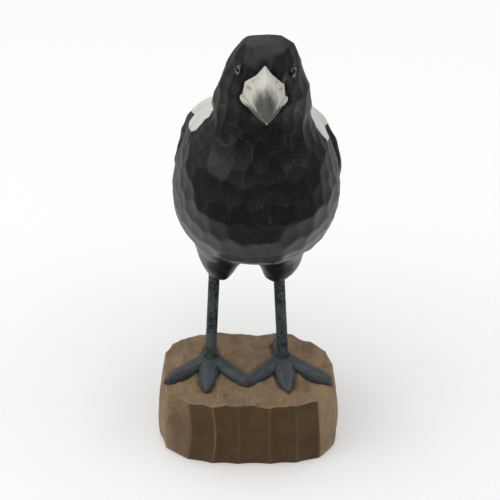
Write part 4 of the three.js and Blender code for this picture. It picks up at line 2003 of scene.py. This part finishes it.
@dataclass(frozen=True)
class LegPaint:
    """Blue-grey paint over the winding, with painted shade in the gaps between its turns."""

    blue: Colour = (0.040, 0.068, 0.070)
    grey: Colour = (0.095, 0.120, 0.118)
    # Painted shade for the gaps between the thread's turns.
    dark: Colour = (0.004, 0.007, 0.007)

    def dress(self, piece: Piece) -> None:
        """Paints the leg.

        Args:
            piece: The leg.
        """
        f = Finish(f"{piece.name}_paint")
        cloud = f.noise(3, (1, 1, 1.6), 4)
        base = f.mix(cloud.step(0.35, 0.7), self.blue, self.grey)
        ragged = (f.noise(1.5, (1, 1, 0.8), 4, 0.65) - 0.5) * 5.5 + (f.noise(7) - 0.5) * 2.5
        # Painted shade: the gaps between the turns are darkened, with ragged edges.
        base = f.mix((f.mark("gap") * 1.4 + ragged).step(0.3, 0.7) * 0.95, base, self.dark)
        f.feed(Base_Color=base, Roughness=0.42 + cloud * 0.15)
        f.bump(f.noise(0.35), 0.05, 0.4)
        f.put_on(piece)


@dataclass(frozen=True)
class BlockWood:
    """Oiled wood, dark on its end grain, with the feet in blue-grey paint and painted shade where they meet
    the wood.
    """

    light: Colour = (0.315, 0.214, 0.118)
    tan: Colour = (0.228, 0.148, 0.078)
    line: Colour = (0.125, 0.078, 0.040)
    shade: Colour = (0.150, 0.098, 0.052)
    scuff: Colour = (0.330, 0.245, 0.150)
    end: Colour = (0.084, 0.0435, 0.0120)
    end_line: Colour = (0.050, 0.026, 0.009)
    end_light: Colour = (0.108, 0.066, 0.029)
    foot: Colour = (0.064, 0.082, 0.092)
    foot_violet: Colour = (0.088, 0.082, 0.092)
    foot_teal: Colour = (0.042, 0.074, 0.074)
    foot_dark: Colour = (0.014, 0.020, 0.021)
    foot_light: Colour = (0.17, 0.20, 0.21)
    # Painted shade for the seams, where the toes and hubs meet the block's top and round the leg holes.
    seam: Colour = (0.012, 0.014, 0.013)
    ring_middle: tuple[float, float] = (4.0, 74.0)
    ring_width: float = 1.25

    def dress(self, piece: Piece) -> None:
        """Gives the block its wood and its painted feet.

        The growth rings are circles about a line along Y above the block, so they show as arcs on its
        front and back, which are end grain, and as long stripes on its top.

        Args:
            piece: The block.
        """
        f = Finish("block_wood")
        wander = f.noise(26, (1, 6, 1)) * 7.0 + f.noise(5, (1, 5, 1)) * 0.9
        ring = f.rings(self.ring_middle, self.ring_width, wander) * 0.5 + 0.5
        pores = f.noise(0.7, (1, 9, 1), 4, 0.65)
        painted = (f.mark("toe") + (f.noise(1.6) - 0.5) * 0.25).step(0.42, 0.5)
        base = f.mix(painted, self.wood(f, ring, pores), self.feet(f))
        # Painted shade along the seams.
        base = f.mix(f.mark("seam") * 0.75, base, self.seam)
        f.feed(Base_Color=base, Roughness=0.62 - painted * 0.14 + pores * 0.1, Specular_IOR_Level=0.35)
        f.bump(pores * 0.6 + ring * 0.3 * (1 - painted), 0.12, 0.5)
        f.put_on(piece)

    def wood(self, f: Finish, ring: Value, pores: Value) -> Value:
        """The oiled wood: long grain on top and at the sides, end grain in front and behind.

        Args:
            f: The finish.
            ring: The growth rings.
            pores: The wood's fine pores.

        Returns:
            The colour.
        """
        faint = f.noise(9, (1, 2, 1)).step(0.4, 0.65)
        blotch = f.noise(7, (1, 1.6, 1), 4, 0.6)
        side = f.mix(f.noise(12, (1, 2.5, 1), 4).step(0.3, 0.72), self.light, self.tan)
        grain = ring.step(0.55, 1.0) * faint * 0.22 + pores.step(0.5, 0.8) * 0.4
        side = f.mix(grain.least(0.85), side, self.line)
        side = f.mix(blotch.step(0.46, 0.66) * 0.65, side, self.shade)
        side = f.mix(f.noise(2.2, (1, 3, 1), 5, 0.7).step(0.48, 0.68) * 0.6, side, self.scuff)
        grain = ring.step(0.3, 1.0) * faint * 0.45 + pores.step(0.45, 0.8) * 0.3
        end = f.mix(grain.least(0.9), self.end, self.end_line)
        end = f.mix(blotch.step(0.35, 0.7) * 0.6, end, self.end_light)
        base = f.mix(f.facing(1).step(0.55, 0.93), side, end)
        ridge = f.mark("ridge") * (1 - f.mark("toe"))
        base = f.mix(ridge * (0.3 + faint * 0.3), base, self.light)
        halo = f.mark("halo") * (0.45 + f.noise(2.5).step(0.3, 0.7) * 0.4)
        return f.mix(halo, base, self.foot_dark)

    def feet(self, f: Finish) -> Value:
        """The feet's blue-grey paint, rubbed light along the toes' ridges.

        Args:
            f: The finish.

        Returns:
            The colour.
        """
        paint = f.mix(f.noise(6).step(0.35, 0.65), self.foot, self.foot_violet)
        paint = f.mix(f.noise(9).step(0.5, 0.72), paint, self.foot_teal)
        rubbed = f.mark("ridge") * f.noise(3, (1, 1, 1), 4).step(0.35, 0.6)
        paint = f.mix(rubbed * 0.4, paint, self.foot_light)
        return f.mix(f.noise(1.2, (1, 1, 1), 4).step(0.55, 0.75) * 0.4, paint, self.foot_dark)


# The studio


@dataclass
class Studio:
    """A plain pale floor, soft light and the camera at the photograph's viewing angle."""

    elevation: float = 25.0
    distance: float = 750.0
    focal: float = 1852.0
    image: float = 500.0
    sensor: float = 36.0
    target: Triple = (0.8, 0.0, 80.0)
    lit_point: Triple = (0, 0, 110)
    floor_half: float = 6000.0
    floor_drop: float = 0.05
    floor_colour: Colour = (0.95, 0.95, 0.945)
    floor_glow: float = 0.09
    ceiling: float = 2.3
    ceiling_width: float = 130.0
    ceiling_lean: float = 6.0
    ceiling_aside: float = -8.0
    room_front: float = 0.015
    room_back: float = 0.5
    room_table: float = 0.8
    room_top: float = 0.24

    def camera(self) -> None:
        """Places the camera: level with X, looking down by the elevation at the target."""
        data = bpy.data.cameras.new("camera")
        data.sensor_width = self.sensor
        data.lens = self.focal / self.image * self.sensor
        data.clip_start, data.clip_end = 0.05, 50.0
        made = put_in_scene("camera", data)
        angle = math.radians(self.elevation)
        back = Vector((0, -math.cos(angle), math.sin(angle)))
        made.location = (Vector(self.target) + back * self.distance) * MM
        made.rotation_euler = (-back).to_track_quat("-Z", "Y").to_euler()
        bpy.context.scene.camera = made

    def floor(self) -> None:
        """Lays the floor: one wide plane just under the block."""
        half = self.floor_half * MM
        corners = [(-half, -half, 0), (half, -half, 0), (half, half, 0), (-half, half, 0)]
        mesh = bpy.data.meshes.new("floor")
        mesh.from_pydata(corners, [], [(0, 1, 2, 3)])
        piece = put_in_scene("floor", mesh)
        piece.location = (0, 0, -self.floor_drop * MM)
        piece.visible_glossy = False
        f = Finish("floor")
        f.feed(Base_Color=self.floor_colour, Roughness=0.9, Specular_IOR_Level=0.1)
        f.feed(Emission_Color=(1.0, 1.0, 1.0), Emission_Strength=self.floor_glow)
        f.put_on(piece)

    def lamp(self, name: str, at: Triple, size: float, power: float) -> None:
        """Hangs one soft square light that faces the bird.

        Args:
            name: Its name.
            at: Its place, in millimetres.
            size: Its width, in millimetres.
            power: Its power, in watts.
        """
        data = bpy.data.lights.new(name, "AREA")
        data.size = size * MM
        data.energy = power
        made = put_in_scene(name, data)
        made.location = Vector(at) * MM
        made.rotation_euler = (Vector(self.lit_point) - Vector(at)).to_track_quat("-Z", "Y").to_euler()

    def sky(self) -> None:
        """Hangs the wide soft light overhead: a sun as broad as a studio ceiling."""
        data = bpy.data.lights.new("ceiling", "SUN")
        data.energy = self.ceiling
        data.angle = math.radians(self.ceiling_width)
        lean = (math.radians(self.ceiling_lean), math.radians(self.ceiling_aside), 0)
        put_in_scene("ceiling", data).rotation_euler = lean

    def room(self) -> None:
        """Shades the room by direction: dim on the camera's side, with a pale table behind the bird.

        The camera itself sees plain white where the floor ends.
        """
        world = bpy.data.worlds.new("room")
        bpy.context.scene.world = world
        world.use_nodes = True
        tree = world.node_tree
        shade = tree.nodes["Background"]
        parts = tree.nodes.new("ShaderNodeSeparateXYZ")
        tree.links.new(tree.nodes.new("ShaderNodeTexCoord").outputs["Generated"], parts.inputs[0])
        back, up = (Value(tree, parts.outputs[k]) for k in (1, 2))
        shade.inputs["Color"].default_value = (1, 1, 1, 1)
        table = (back - up * 1.6).step(0.5, 1.05) * (self.room_back + up.step(-0.15, -0.65) * self.room_table)
        above = (up + back * 0.5).step(0.15, 0.85) * self.room_top
        seen = Value(tree, tree.nodes.new("ShaderNodeLightPath").outputs["Is Camera Ray"])
        strength = (self.room_front + above.most(table)) * (1 - seen) + seen
        tree.links.new(strength.socket, shade.inputs["Strength"])

    def build(self) -> None:
        """Sets up the whole studio."""
        self.camera()
        self.floor()
        self.room()
        self.sky()
        self.lamp("left_softbox", (-700, -350, 620), 600, 0.8)
        self.lamp("right_softbox", (760, -200, 520), 600, 0.4)
        view = bpy.context.scene.view_settings
        view.view_transform = "Standard"
        view.look = "None"


def main() -> None:
    """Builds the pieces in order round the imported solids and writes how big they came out."""
    logging.basicConfig(level=logging.INFO, format="%(name)s: %(message)s")
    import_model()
    bird = Bird()
    bird.build(BirdPaint())
    bird.build_eyes(EyeGlass())
    for side in Side:
        name = f"{side.word}_wound_leg"
        mesh = Leg(side).shell().to_mesh(name)
        LegPaint().dress(finished_piece(name, mesh, f"{side.word}_leg", 60))
    Block().build(BlockWood())
    Studio().build()


if __name__ == "__main__":
    main()
